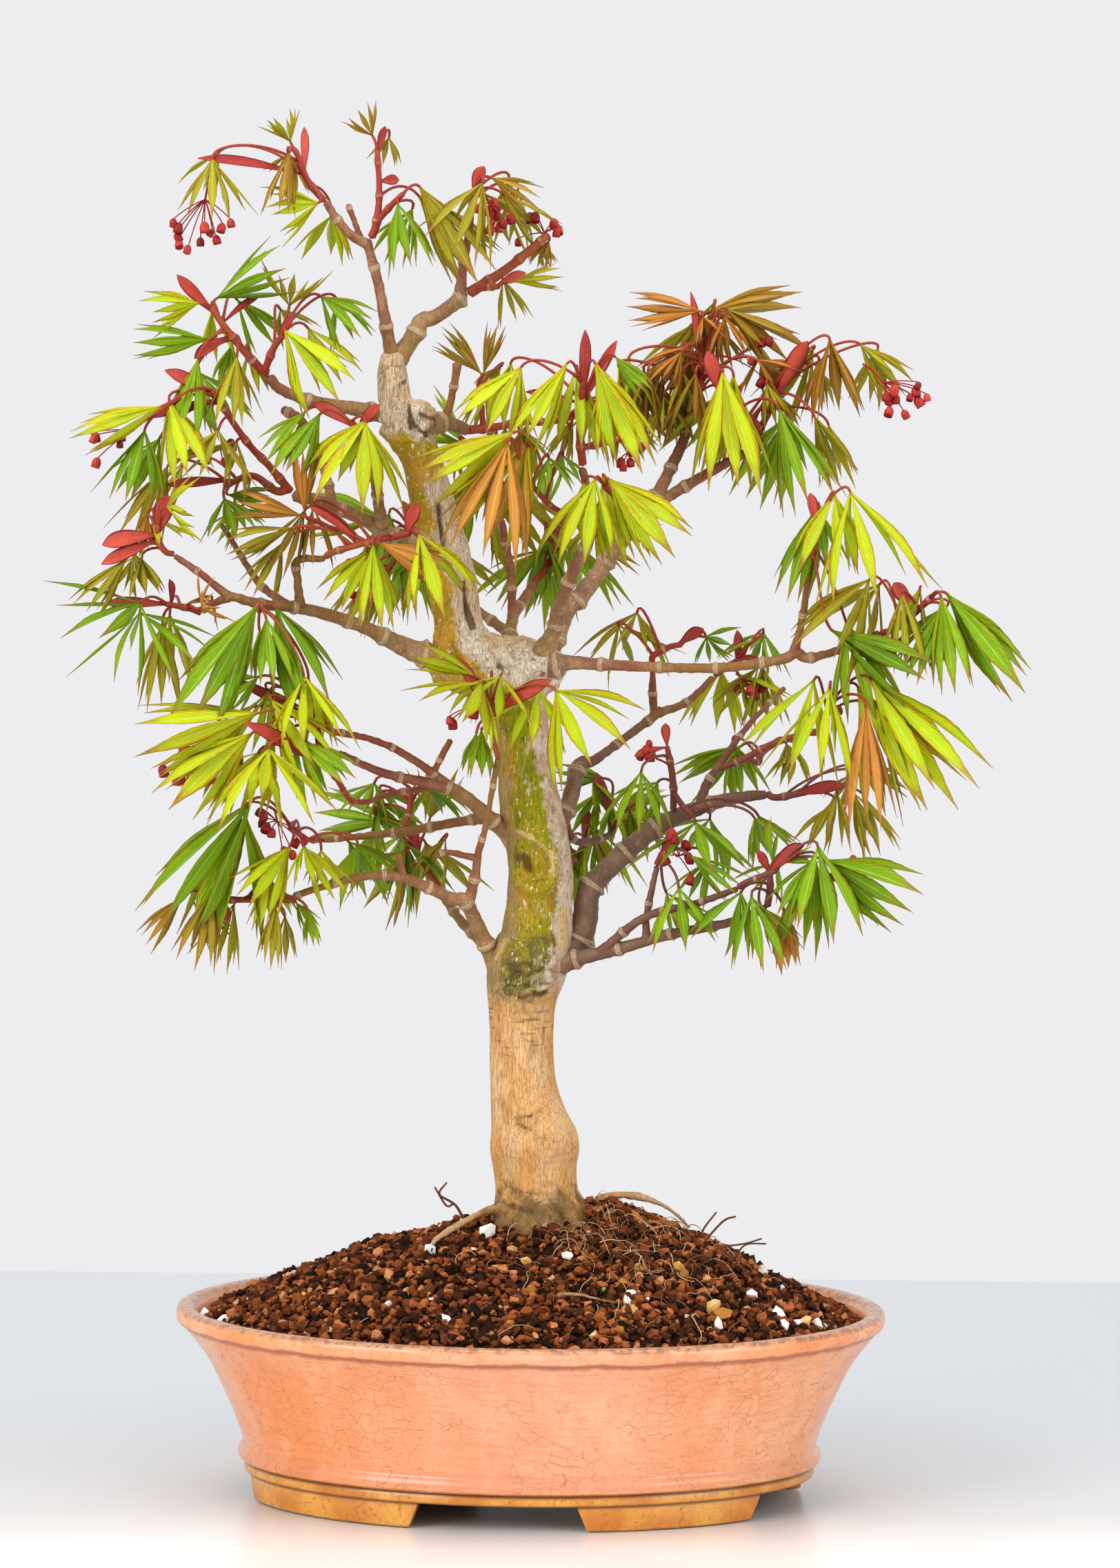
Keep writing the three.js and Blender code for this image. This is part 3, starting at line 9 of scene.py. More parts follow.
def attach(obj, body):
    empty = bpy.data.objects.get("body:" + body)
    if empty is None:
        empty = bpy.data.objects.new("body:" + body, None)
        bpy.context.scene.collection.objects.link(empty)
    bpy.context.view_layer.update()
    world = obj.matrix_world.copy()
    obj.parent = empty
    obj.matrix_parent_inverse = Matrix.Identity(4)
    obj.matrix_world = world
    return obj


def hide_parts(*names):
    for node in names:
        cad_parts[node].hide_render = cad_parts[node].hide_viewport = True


# %% [markdown]
# # A maple bonsai in an oval glazed pot
#
# The plain solid model of the tree is loaded first. It fixes every size, and nothing in it moves.
# Each cell below then dresses one part of it: the pot, the soil, the trunk, the branches, and the
# young shoots with their leaves, bracts and flowers.
# Lengths in the tables are millimetres, because a tree this small is easier to think of that way.
# Blender works in metres, so each number is multiplied by MM where it is used.

# %% Load the plain model
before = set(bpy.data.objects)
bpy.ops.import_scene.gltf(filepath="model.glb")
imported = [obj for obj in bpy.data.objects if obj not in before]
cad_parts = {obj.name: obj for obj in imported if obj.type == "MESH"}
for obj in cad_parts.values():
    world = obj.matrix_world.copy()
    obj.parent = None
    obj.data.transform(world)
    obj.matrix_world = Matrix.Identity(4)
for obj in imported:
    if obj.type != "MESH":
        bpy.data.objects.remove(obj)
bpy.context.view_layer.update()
bpy.ops.object.select_all(action="DESELECT")

MM = 0.001
rng = np.random.default_rng(11)

# %% [markdown]
# ## Three small helpers
#
# A modifier such as Boolean or Bevel stays live until it is applied, so `apply` adds one and
# applies it in one go. `piece_from` turns plain lists of points and faces into a mesh object, and
# writes numbers such as "how far along the leaf" on its points, where a material can read them.

# %% Helpers for pieces
def apply(piece, kind, **settings):
    bpy.ops.object.select_all(action="DESELECT")
    bpy.context.view_layer.objects.active = piece
    piece.select_set(True)
    modifier = piece.modifiers.new(kind.title(), kind)
    for name, value in settings.items():
        setattr(modifier, name, value)
    bpy.ops.object.modifier_apply(modifier=modifier.name)


def piece_from(name, points, faces, values=None, across_along=None):
    mesh = bpy.data.meshes.new(name)
    mesh.from_pydata(points.tolist(), [], faces)
    for label, numbers in (values or {}).items():
        layer = mesh.attributes.new(label, "FLOAT", "POINT")
        layer.data.foreach_set("value", np.asarray(numbers, np.float32))
    if across_along is not None:
        corners = np.empty(len(mesh.loops), np.int32)
        mesh.loops.foreach_get("vertex_index", corners)
        layer = mesh.uv_layers.new(name="across_along")
        layer.data.foreach_set("uv", across_along[corners].astype(np.float32).ravel())
    mesh.polygons.foreach_set("use_smooth", [True] * len(mesh.polygons))
    mesh.update()
    piece = bpy.data.objects.new(name, mesh)
    bpy.context.scene.collection.objects.link(piece)
    return piece


def finish(piece, material, slot, *nodes):
    piece.data.materials.clear()
    piece.data.materials.append(material)
    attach(piece, "root")
    if nodes:
        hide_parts(*nodes)
    piece.data.calc_loop_triangles()
    print(f"{piece.name}: {len(piece.data.loop_triangles)} triangles, for {len(nodes)} nodes")


# %% [markdown]
# ## Helpers for materials
#
# A material is a small network of nodes. `node` adds one node and plugs its inputs in, `paint`
# turns a colour as it looks on a paint chart into the linear numbers that the renderer wants, and
# `ramp` blends between several paints. `tint` lays one paint over another where a mask says so.
# `surface` starts a material and gives back its shader.

# %% Helpers for materials
def paint(chart):
    parts = [int(chart[i:i + 2], 16) / 255 for i in (0, 2, 4)]
    linear = [c / 12.92 if c <= 0.04045 else ((c + 0.055) / 1.055) ** 2.4 for c in parts]
    return (*linear, 1)


def node(tree, kind, inputs=None, **settings):
    made = tree.nodes.new("ShaderNode" + kind)
    for name, value in settings.items():
        setattr(made, name, value)
    for name, value in (inputs or {}).items():
        if isinstance(value, bpy.types.NodeSocket):
            tree.links.new(value, made.inputs[name])
        else:
            made.inputs[name].default_value = value
    return made


def ramp(tree, factor, stops):
    made = node(tree, "ValToRGB", {"Fac": factor})
    elements = made.color_ramp.elements
    while len(elements) < len(stops):
        elements.new(0.5)
    for element, (place, chart) in zip(elements, stops):
        element.position = place
        element.color = paint(chart)
    return made.outputs["Color"]


def sums(tree, operation, *values, clamp=False):
    return node(tree, "Math", dict(enumerate(values)), operation=operation, use_clamp=clamp).outputs[0]


def fade(tree, value, low, high):
    ends = {"Value": value, "From Min": low, "From Max": high}
    return node(tree, "MapRange", ends, interpolation_type="SMOOTHSTEP").outputs["Result"]


def blend(tree, factor, under, over, kind="MIX"):
    made = node(tree, "Mix", data_type="RGBA", blend_type=kind)
    for socket, value in ((0, factor), (6, under), (7, over)):
        if isinstance(value, bpy.types.NodeSocket):
            tree.links.new(value, made.inputs[socket])
        else:
            made.inputs[socket].default_value = value
    return made.outputs[2]


def tint(tree, mask, strength, under, chart):
    return blend(tree, sums(tree, "MULTIPLY", mask, strength), under, paint(chart))


def grain_noise(tree, where, scale, detail=4.0, roughness=0.55):
    made = node(tree, "TexNoise", {"Vector": where, "Scale": scale, "Detail": detail, "Roughness": roughness})
    return made.outputs["Fac"]


def stretched(tree, where, stretch):
    return node(tree, "Mapping", {"Vector": where, "Scale": stretch}).outputs["Vector"]


def bumped(tree, shader, height, strength, distance):
    made = node(tree, "Bump", {"Height": height, "Strength": strength, "Distance": distance})
    tree.links.new(made.outputs["Normal"], shader.inputs["Normal"])


def surface(name, **sockets):
    material = bpy.data.materials.new(name)
    material.use_nodes = True
    tree = material.node_tree
    shader = tree.nodes["Principled BSDF"]
    for label, value in sockets.items():
        shader.inputs[label.replace("_", " ")].default_value = value
    place = node(tree, "TexCoord").outputs["Object"]
    return material, tree, shader, place


print("helpers ready")

# %% [markdown]
# ## The pot's outline
#
# The pot is an oval bowl that flares out from a narrow neck to a thin rounded lip, over a rolled
# bead and four low feet. A potter would turn or press such a shape round one profile, and we do
# the same: a circle of points is extruded once for every place on the profile.
# An oval that is pulled in by the same amount all round isn't just a smaller oval, so each new
# ring is laid out by pushing the lip's outline inwards along its own normals.
# A plain scale would make the wall too thick at the two ends.

# %% The pot's profile and its rings
POT_X = -2
HALF_LENGTH = 150
HALF_WIDTH = 115
POT_SIDES = 192

POT_PROFILE = [
    (41.5, 10.5), (40.2, 10.3), (40, 9.6), (40, 0.8), (39.2, 0), (31.9, 0), (31, 0.8), (30.6, 9.3),
    (30.9, 10.4), (29.5, 10.9), (29, 12.2), (29.1, 14.3), (29.9, 15.2), (28.2, 15.7), (26.8, 16.7),
    (26.4, 18.5), (26.8, 20.4), (27.9, 21.7), (28.4, 22.6), (28.3, 24.4), (27.4, 27.6), (25.9, 32),
    (23.6, 38), (20.9, 43.6),
    (18.1, 50), (14.9, 56.6), (11.6, 61.8), (8.2, 66.4), (5.2, 70), (3, 72.6), (2.5, 73.7), (1, 74.2),
    (0.2, 75.4), (0, 77.4), (0.2, 79.3), (0.9, 80.5), (2.2, 81.1), (4.4, 81.2), (6.6, 80.8), (8, 79.7),
    (8.8, 77.8), (9.9, 75), (12.7, 70), (20.1, 60), (29, 45), (34.6, 30), (35.5, 20), (37.5, 17),
]


def lip_oval(inset, sides=POT_SIDES):
    angle = np.linspace(0, 2 * np.pi, sides, endpoint=False)
    way = np.stack([HALF_WIDTH * np.cos(angle), HALF_LENGTH * np.sin(angle)], 1)
    way /= np.linalg.norm(way, axis=1)[:, None]
    lip = np.stack([HALF_LENGTH * np.cos(angle), HALF_WIDTH * np.sin(angle)], 1)
    return (lip - inset * way + [POT_X, 0]) * MM


def turn_round(x, y):
    return (math.atan2(y, x) + 0.001) % (2 * math.pi)


def rise_by_rings(name, rings):
    bpy.ops.object.select_all(action="DESELECT")
    bpy.ops.mesh.primitive_circle_add(vertices=len(rings[0]), radius=0.1, location=(0, 0, 0))
    piece = bpy.context.object
    piece.name = name
    bpy.ops.object.mode_set(mode="EDIT")
    bpy.ops.mesh.select_mode(type="VERT")
    for step, ring in enumerate(rings):
        if step:
            bpy.ops.mesh.extrude_region_move()
        work = bmesh.from_edit_mesh(piece.data)
        middle = 0 if step == 0 else POT_X * MM
        drawn = [v for v in work.verts if v.select]
        drawn.sort(key=lambda v: turn_round(v.co.x - middle, v.co.y))
        for v, place in zip(drawn, sorted(ring, key=lambda p: turn_round(p[0] - POT_X * MM, p[1]))):
            v.co = place
        bmesh.update_edit_mesh(piece.data)
    bpy.ops.mesh.select_all(action="SELECT")
    bpy.ops.mesh.fill_holes(sides=0)
    bpy.ops.mesh.select_all(action="SELECT")
    bpy.ops.mesh.normals_make_consistent(inside=False)
    bpy.ops.object.mode_set(mode="OBJECT")
    return piece


def oval_at(inset, height, sides=POT_SIDES):
    return np.column_stack([lip_oval(inset, sides), np.full(sides, height * MM)])


pot = rise_by_rings("pot_body", [oval_at(inset, height) for inset, height in POT_PROFILE])
print("pot rings:", len(POT_PROFILE), "faces:", len(pot.data.polygons))

# %% [markdown]
# ## Feet and drainage holes
#
# The foot ring is open in the middle of each side, which leaves four feet with slanted ends.
# A real potter cuts those openings out of the leather-hard clay with a wire. Here a wedge does the
# same work with a Boolean modifier: one wedge runs front to back and one from side to side.
# Two round cutters open the drainage holes in the floor. A small bevel then softens every sharp
# edge, because glaze always rounds an edge a little.

# %% Cut the feet and the holes
FOOT_HEIGHT = 10.5
GAP_LENGTH = 66
GAP_SLANT = 4.5
GAP_TURN = -9
HOLES = (-52, 48)
HOLE_RADIUS = 12


def cut_away(piece, cutter):
    apply(piece, "BOOLEAN", operation="DIFFERENCE", object=cutter, solver="EXACT")
    bpy.data.objects.remove(cutter)


def foot_wedge(turn):
    bpy.ops.object.select_all(action="DESELECT")
    size = (GAP_LENGTH * MM, 0.4, (FOOT_HEIGHT + 1) * MM)
    middle = (POT_X * MM, 0, (FOOT_HEIGHT - 1) / 2 * MM)
    bpy.ops.mesh.primitive_cube_add(size=1, location=middle, rotation=(0, 0, turn), scale=size)
    wedge = bpy.context.object
    for v in wedge.data.vertices:
        if v.co.z < 0:
            v.co.x *= 1 + 2 * GAP_SLANT / GAP_LENGTH
    return wedge


for heading in (GAP_TURN, GAP_TURN + 90):
    cut_away(pot, foot_wedge(math.radians(heading)))
for x in HOLES:
    middle = (x * MM, 0, 0.014)
    bpy.ops.mesh.primitive_cylinder_add(vertices=40, radius=HOLE_RADIUS * MM, depth=0.02, location=middle)
    cut_away(pot, bpy.context.object)
apply(pot, "BEVEL", width=0.5 * MM, segments=2, limit_method="ANGLE", angle_limit=math.radians(40))
bpy.ops.object.shade_smooth_by_angle(angle=math.radians(50))
print("pot faces after cutting:", len(pot.data.polygons))

# %% [markdown]
# ## Effects that several finishes share
#
# Two effects turn up in more than one material, so each is built once as a node group and placed
# wherever it is wanted. "Mottle" mixes two colours in soft clouds with fine specks on top, as
# glaze and old wood do, and `clouded` places it. "Fissures" gives thin dark lines that run along
# a surface.

# %% Shared node groups
def effect(name, inputs, outputs):
    tree = bpy.data.node_groups.new(name, "ShaderNodeTree")
    for label, kind, value in inputs:
        socket = tree.interface.new_socket(label, in_out="INPUT", socket_type=f"NodeSocket{kind}")
        if value is not None:
            socket.default_value = value
    for label, kind in outputs:
        tree.interface.new_socket(label, in_out="OUTPUT", socket_type=f"NodeSocket{kind}")
    return tree, tree.nodes.new("NodeGroupInput"), tree.nodes.new("NodeGroupOutput")


def place_effect(tree, group, inputs):
    made = tree.nodes.new("ShaderNodeGroup")
    made.node_tree = group
    for label, value in inputs.items():
        if isinstance(value, bpy.types.NodeSocket):
            tree.links.new(value, made.inputs[label])
        else:
            made.inputs[label].default_value = value
    return made.outputs


def clouded(tree, where, cloud_size, speck_size, colour, cloud_colour, speck_colour, specks):
    return place_effect(tree, mottle, {
        "Where": where, "Cloud size": cloud_size, "Speck size": speck_size, "Colour": paint(colour),
        "Cloud colour": paint(cloud_colour), "Speck colour": paint(speck_colour), "Specks": specks})


mottle, given, result = effect(
    "Mottle",
    [("Where", "Vector", None), ("Cloud size", "Float", 30.0), ("Speck size", "Float", 400.0),
     ("Colour", "Color", None), ("Cloud colour", "Color", None), ("Speck colour", "Color", None),
     ("Specks", "Float", 0.5)],
    [("Colour", "Color"), ("Mask", "Float")],
)
soft = grain_noise(mottle, given.outputs["Where"], given.outputs["Cloud size"], 6, 0.6)
clouds = fade(mottle, soft, 0.36, 0.66)
fine = grain_noise(mottle, given.outputs["Where"], given.outputs["Speck size"], 2, 0.5)
dots = sums(mottle, "MULTIPLY", fade(mottle, fine, 0.6, 0.72), given.outputs["Specks"])
cloudy = blend(mottle, clouds, given.outputs["Colour"], given.outputs["Cloud colour"])
mottle.links.new(blend(mottle, dots, cloudy, given.outputs["Speck colour"]), result.inputs["Colour"])
mottle.links.new(clouds, result.inputs["Mask"])

fissures, given, result = effect(
    "Fissures",
    [("Where", "Vector", None), ("Across", "Float", 700.0), ("Along", "Float", 70.0),
     ("Width", "Float", 0.06)],
    [("Lines", "Float"), ("Relief", "Float")],
)
pull = node(fissures, "CombineXYZ", {
    0: given.outputs["Across"], 1: given.outputs["Across"], 2: given.outputs["Along"]}).outputs[0]
drawn_out = node(
    fissures, "VectorMath", {0: given.outputs["Where"], 1: pull}, operation="MULTIPLY").outputs[0]
fibre = grain_noise(fissures, drawn_out, 1.0, 5, 0.6)
from_middle = sums(fissures, "ABSOLUTE", sums(fissures, "SUBTRACT", fibre, 0.5))
line = fade(fissures, from_middle, given.outputs["Width"], 0.0)
fissures.links.new(line, result.inputs["Lines"])
fissures.links.new(fibre, result.inputs["Relief"])
print("node groups:", len(bpy.data.node_groups))

# %% [markdown]
# ## The glaze
#
# The glaze is a salmon orange with a fine crackle. Across the middle it is painted paler and pinker,
# and at the sides darker, as painted light and shade on the curved wall. It breaks to brown on the
# lip's edge and runs out to mustard on the feet, where it is thinnest. Over the bead it is painted
# darker, and thin dark lines run in the crease under the bead, under the lip and under the strip
# above the feet: all of that is painted shade. The changes other than the pale middle go with height,
# so the material reads the height of each point and uses it, roughened by noise, to mix the paints.
# The crackle is the edge of Voronoi cells, and it darkens the colour and dents the bump a little.

# %% The glaze
glaze, tree, shader, place = surface("glaze", Roughness=0.3, Coat_Weight=0.35, Coat_Roughness=0.12)
height = node(tree, "SeparateXYZ", {"Vector": place}).outputs["Z"]
wobble = sums(tree, "MULTIPLY", sums(tree, "SUBTRACT", grain_noise(tree, place, 90, 5, 0.6), 0.5), 0.004)
level = sums(tree, "ADD", height, wobble)
body = clouded(
    tree, stretched(tree, place, (1, 1, 0.45)), 28.0, 900.0,
    "e88c4a", "efaa7c", "b8562a", 0.6)
streaks = fade(tree, grain_noise(tree, stretched(tree, place, (1, 1, 0.18)), 60, 5, 0.6), 0.5, 0.75)
# Painted light and shade: the glaze is painted paler and pinker across the middle and stays darker orange at
# the sides, where the curved wall turns away.
sideways = sums(tree, "ABSOLUTE", node(tree, "SeparateXYZ", {"Vector": place}).outputs["X"])
painted_light_middle = sums(tree, "MULTIPLY", fade(tree, sideways, 0.11, 0.02), 0.6)
salmon_with_painted_light = blend(tree, painted_light_middle, body["Colour"], paint("eea684"))
pale_streaks = tint(tree, streaks, 0.5, salmon_with_painted_light, "f6bd98")
brush = place_effect(tree, fissures, {
    "Where": stretched(tree, place, (0.06, 0.06, 1)), "Across": 900.0, "Along": 420.0, "Width": 0.03})
brushed = tint(tree, brush["Lines"], 0.35, pale_streaks, "b8622c")
mustard = clouded(
    tree, place, 45.0, 500.0,
    "c8781a", "e0a03c", "8a5018", 0.6)
print("glaze: body paints mixed")

# %% The glaze on feet, bead and lip
feet = blend(tree, fade(tree, level, 0.0175, 0.015), brushed, mustard["Colour"])
# Painted shade: thin dark lines in the crease under the bead and in the notch under the strip's lower edge,
# above the feet.
crease_painted_shade = sums(tree, "MULTIPLY", fade(tree, height, 0.0168, 0.0152), fade(tree, height, 0.0136, 0.0148))
strip_edge_painted_shade = sums(tree, "MULTIPLY", fade(tree, height, 0.0118, 0.0108), fade(tree, height, 0.0092, 0.0102))
painted_shade_lines = sums(tree, "MULTIPLY", sums(tree, "ADD", crease_painted_shade, strip_edge_painted_shade, clamp=True), 0.75)
feet_painted_shade = blend(tree, painted_shade_lines, feet, paint("6a3412"))
# Painted shade: the glaze is painted darker over the rolled bead, as shade on its curve.
bead_painted_shade = sums(tree, "MULTIPLY", fade(tree, level, 0.026, 0.0225), fade(tree, level, 0.0165, 0.0185))
bead = tint(tree, bead_painted_shade, 0.3, feet_painted_shade, "b06a48")
under_lip = sums(tree, "MULTIPLY", fade(tree, level, 0.0715, 0.0735), fade(tree, level, 0.0755, 0.0742))
shadowed = tint(tree, under_lip, 0.8, bead, "a25230")
lip_band = fade(tree, level, 0.0785, 0.0805)
lip_specks = fade(tree, grain_noise(tree, place, 260, 4, 0.65), 0.46, 0.56)
lip = blend(tree, lip_band, shadowed, paint("c08a62"))
lip_mask = sums(tree, "MULTIPLY", lip_specks, sums(tree, "MULTIPLY", lip_band, 0.7))
lip_brown = blend(tree, lip_mask, lip, paint("8a4c2c"))
cells = node(tree, "TexVoronoi", {"Vector": place, "Scale": 150.0}, feature="DISTANCE_TO_EDGE")
crackle = fade(tree, cells.outputs["Distance"], 0.02, 0.0)
broken = sums(tree, "MULTIPLY", crackle, fade(tree, grain_noise(tree, place, 40, 3), 0.4, 0.6))
colour = tint(tree, broken, 0.75, lip_brown, "a8562f")
tree.links.new(colour, shader.inputs["Base Color"])
gloss = node(tree, "MapRange", {"Value": grain_noise(tree, place, 45, 4), "To Min": 0.2, "To Max": 0.42})
tree.links.new(gloss.outputs["Result"], shader.inputs["Roughness"])
relief = sums(tree, "SUBTRACT", sums(tree, "MULTIPLY", grain_noise(tree, place, 220, 4), 0.5), broken)
bumped(tree, shader, relief, 0.35, 0.0006)
finish(pot, glaze, "glaze", "pot")

# %% [markdown]
# ## The drainage mesh
#
# A square of plastic netting lies over each hole so that the soil stays in. It is hidden from
# every side but below, so the plain disc keeps its shape and only gets a woven look: two sets of
# crossing bands, which a bump node raises.

# %% The drainage mesh
netting, tree, shader, place = surface("netting", Roughness=0.6)
across = node(tree, "TexWave", {"Vector": place, "Scale": 160.0}, bands_direction="X").outputs["Fac"]
along = node(tree, "TexWave", {"Vector": place, "Scale": 160.0}, bands_direction="Y").outputs["Fac"]
weave = sums(tree, "MAXIMUM", across, along)
tree.links.new(ramp(tree, weave, [(0.45, "0c0c0b"), (0.8, "3c3c3a")]), shader.inputs["Base Color"])
bumped(tree, shader, weave, 0.8, 0.0008)
discs = [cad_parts[f"drain_mesh_{side}"] for side in ("left", "right")]
for disc in discs:
    disc.data.materials.clear()
    disc.data.materials.append(netting)
print("netting on", len(discs), "discs")

# %% [markdown]
# ## The soil
#
# Bonsai soil is a mound of small hard grains. From the front it reads as thousands of separate
# angular bits, so a bump map alone would look like carpet. We lay a dark, uneven mound first and
# then scatter real grains over it.
# A grain starts as an icosphere with twenty faces, which is jostled at random in edit mode until
# it looks broken instead of round. A handful of such grains is enough: each copy gets its own
# turn, size and tone. The tone is written on its points, and one material reads it.

# %% The mound
EDGE_INSET = 10.4
SOIL_EDGE = 75.5
SOIL_RISE = 45
MOUND_POWER = 1.5
GRAIN_BED = 1.8


def mound_height(share, x, y):
    rise = SOIL_RISE * (1 - share ** MOUND_POWER)
    right_bulge = 7 * math.exp(-((x - 58) / 34) ** 2 - ((y - 8) / 38) ** 2)
    right_bulge += 6 * math.exp(-((x - 26) / 18) ** 2 - ((y - 8) / 22) ** 2)
    ripple = 2.2 * noise.noise(Vector((x * 0.05, y * 0.05, 3.1))) * min(1, 3 * (1 - share))
    return SOIL_EDGE + rise + (right_bulge + ripple) * min(1, 6 * (1 - share))


def mound_share(x, y):
    reach = math.hypot((x - POT_X) / (HALF_LENGTH - EDGE_INSET), y / (HALF_WIDTH - EDGE_INSET))
    return min(reach, 1)


def on_mound(x, y):
    return mound_height(mound_share(x, y), x, y)


SOIL_SIDES = 96
MOUND_RINGS = 34
rings = [oval_at(inset, height, SOIL_SIDES) for inset, height in (
    (36.5, 17.6), (35.4, 30), (29.8, 45), (20.9, 60), (13.5, 70))]
for k in range(MOUND_RINGS):
    flat = (lip_oval(EDGE_INSET, SOIL_SIDES) - [POT_X * MM, 0]) * (1 - k / MOUND_RINGS) + [POT_X * MM, 0]
    tops = [(on_mound(x / MM, y / MM) - GRAIN_BED) * MM for x, y in flat]
    rings.append(np.column_stack([flat, tops]))
soil = rise_by_rings("soil_mound", rings)
soil.data.polygons.foreach_set("use_smooth", [True] * len(soil.data.polygons))
tone = soil.data.attributes.new("tone", "FLOAT", "POINT")
tone.data.foreach_set("value", np.full(len(soil.data.vertices), 0.1, np.float32))
print("mound faces:", len(soil.data.polygons))

# %% [markdown]
# ## Grains, chips and moss
#
# Now the broken grains. Each one is laid on the mound, half sunk, with a turn of its own.
# Most are dark red-brown baked clay. A few are white perlite, ochre bits and green moss, and
# those get pieces of their own, because their finish is different.

# %% Scatter the grains
def broken_grain(seed, jostle):
    bpy.ops.object.select_all(action="DESELECT")
    bpy.ops.mesh.primitive_ico_sphere_add(subdivisions=1, radius=1, location=(0, 0, 0))
    shape = bpy.context.object
    bpy.ops.object.mode_set(mode="EDIT")
    bpy.ops.mesh.select_all(action="SELECT")
    bpy.ops.transform.vertex_random(offset=jostle, seed=seed)
    bpy.ops.transform.resize(value=(1, 0.8, 0.66))
    bpy.ops.object.mode_set(mode="OBJECT")
    points = np.array([v.co for v in shape.data.vertices])
    faces = np.array([p.vertices for p in shape.data.polygons])
    bpy.data.objects.remove(shape)
    return points, faces


GRAINS = [broken_grain(seed, 0.55) for seed in range(10)]
COARSE_GRAINS = 6000
FINE_GRAINS = 3200


def turned_copies(shapes, places, sizes):
    points, faces, owner, base = [], [], [], 0
    for i, (place, size) in enumerate(zip(places, sizes)):
        shape, triangles = shapes[i % len(shapes)]
        turn = rng.uniform(0, 6.28)
        spin = np.array(Matrix.Rotation(turn, 3, Vector(rng.normal(size=3)).normalized()))
        points.append(shape @ spin.T * size + place)
        faces.append(triangles + base)
        owner.append(np.full(len(shape), i))
        base += len(shape)
    return np.concatenate(points), np.concatenate(faces).tolist(), np.concatenate(owner)


def anywhere(x, y):
    return True


def mostly_right(x, y):
    return x > 0 or rng.uniform() < 0.5


def spots_on_mound(count, keep):
    spots = []
    while len(spots) < count:
        reach, turn = math.sqrt(rng.uniform(0, 1)) * 0.992, rng.uniform(0, 2 * math.pi)
        x = POT_X + reach * math.cos(turn) * (HALF_LENGTH - EDGE_INSET)
        y = reach * math.sin(turn) * (HALF_WIDTH - EDGE_INSET)
        if math.hypot(x - 1, y) > 19 and keep(x, y):
            spots.append((x, y, on_mound(x, y)))
    return np.array(spots)


def grain_piece(name, count, low, high, sunk, keep=anywhere, placed=()):
    spots = spots_on_mound(count, keep)
    sizes = rng.uniform(low, high, count) / 2
    for i, (x, y, size) in enumerate(placed):
        spots[i] = x, y, on_mound(x, y) + size / 4
        sizes[i] = size / 2
    spots[:, 2] += rng.uniform(-sunk, sunk, count) - 0.4
    points, faces, owner = turned_copies(GRAINS, spots * MM, sizes * MM)
    tones = rng.beta(1.1, 1.5, count)
    piece = piece_from(name, points, faces, {"tone": tones[owner]})
    piece.data.polygons.foreach_set("use_smooth", [False] * len(piece.data.polygons))
    return piece


print("grain shapes:", len(GRAINS))

# %% Lay the grains and chips
coarse = grain_piece("soil_grains_coarse", COARSE_GRAINS, 2.8, 6.2, 1.1)
fine_grains = grain_piece("soil_grains_fine", FINE_GRAINS, 1.6, 3.0, 1.0)
perlite = grain_piece("perlite_chips", 58, 2.2, 8.5, 0.3, mostly_right, (
    (-21, -24, 8), (13, -42, 6), (91, -38, 6), (76, -70, 7), (118, -40, 7), (40, -62, 5), (104, -52, 5)))
ochre = grain_piece("ochre_bits", 60, 2.0, 6.5, 0.3, placed=(
    (78, -62, 9), (73, -59, 8), (112, -42, 7), (-4, -48, 6), (60, -38, 7), (-2, -66, 6), (62, -42, 6)))
moss = grain_piece("moss_bits", 14, 1.5, 3.4, 0.2)
print("grains:", COARSE_GRAINS + FINE_GRAINS)

# %% [markdown]
# ## How the soil and its bits look
#
# The clay grains differ most in tone, so the ramp runs from charcoal through red-brown to rust,
# and the number on each grain picks a place on it. A fine noise roughens it, since baked clay is
# never glossy.

# %% Soil finishes
def earthy(name, stops, roughness=0.95):
    material, tree, shader, place = surface(name, Roughness=roughness, Specular_IOR_Level=0.1)
    tone = node(tree, "Attribute", attribute_name="tone").outputs["Fac"]
    crumbs = grain_noise(tree, place, 1400, 4, 0.65)
    roughened = sums(tree, "MULTIPLY", sums(tree, "SUBTRACT", crumbs, 0.5), 0.5)
    mixed = sums(tree, "ADD", tone, roughened, clamp=True)
    tree.links.new(ramp(tree, mixed, stops), shader.inputs["Base Color"])
    bumped(tree, shader, crumbs, 0.5, 0.0004)
    return material


baked_clay = earthy("baked_clay", [
    (0, "150c08"), (0.22, "3c2013"), (0.46, "673619"), (0.68, "8f4b24"), (0.88, "b3683a"), (1, "d09a66")])
white_stone = earthy("white_stone", [(0, "cfc7b4"), (0.5, "f2eee4"), (1, "ffffff")], 0.8)
ochre_stone = earthy("ochre_stone", [(0, "a2652a"), (0.5, "d09a4c"), (1, "ecc98a")], 0.85)
green_moss = earthy("green_moss", [(0, "3f5a16"), (0.5, "6f9626"), (1, "a9c648")], 0.9)
finish(soil, baked_clay, "soil", "soil")
finish(coarse, baked_clay, "soil")
finish(fine_grains, baked_clay, "soil")
finish(perlite, white_stone, "soil")
finish(ochre, ochre_stone, "soil")
finish(moss, green_moss, "soil")

# %% [markdown]
# ## Where the wood grows
#
# The tree is drawn as routes: lists of points with a radius, from the base of the trunk outwards.
# x is measured from the middle of the trunk's base and z from the crown of the soil. They are the
# same routes that the plain model was grown from, so every twig follows its solid.
# A leaf is its hub, the way it points (0 is right, 90 is up), how far its fingers spread, its
# length, and a letter for its colour: yellow-green, green, olive, bronze, red, or dead.

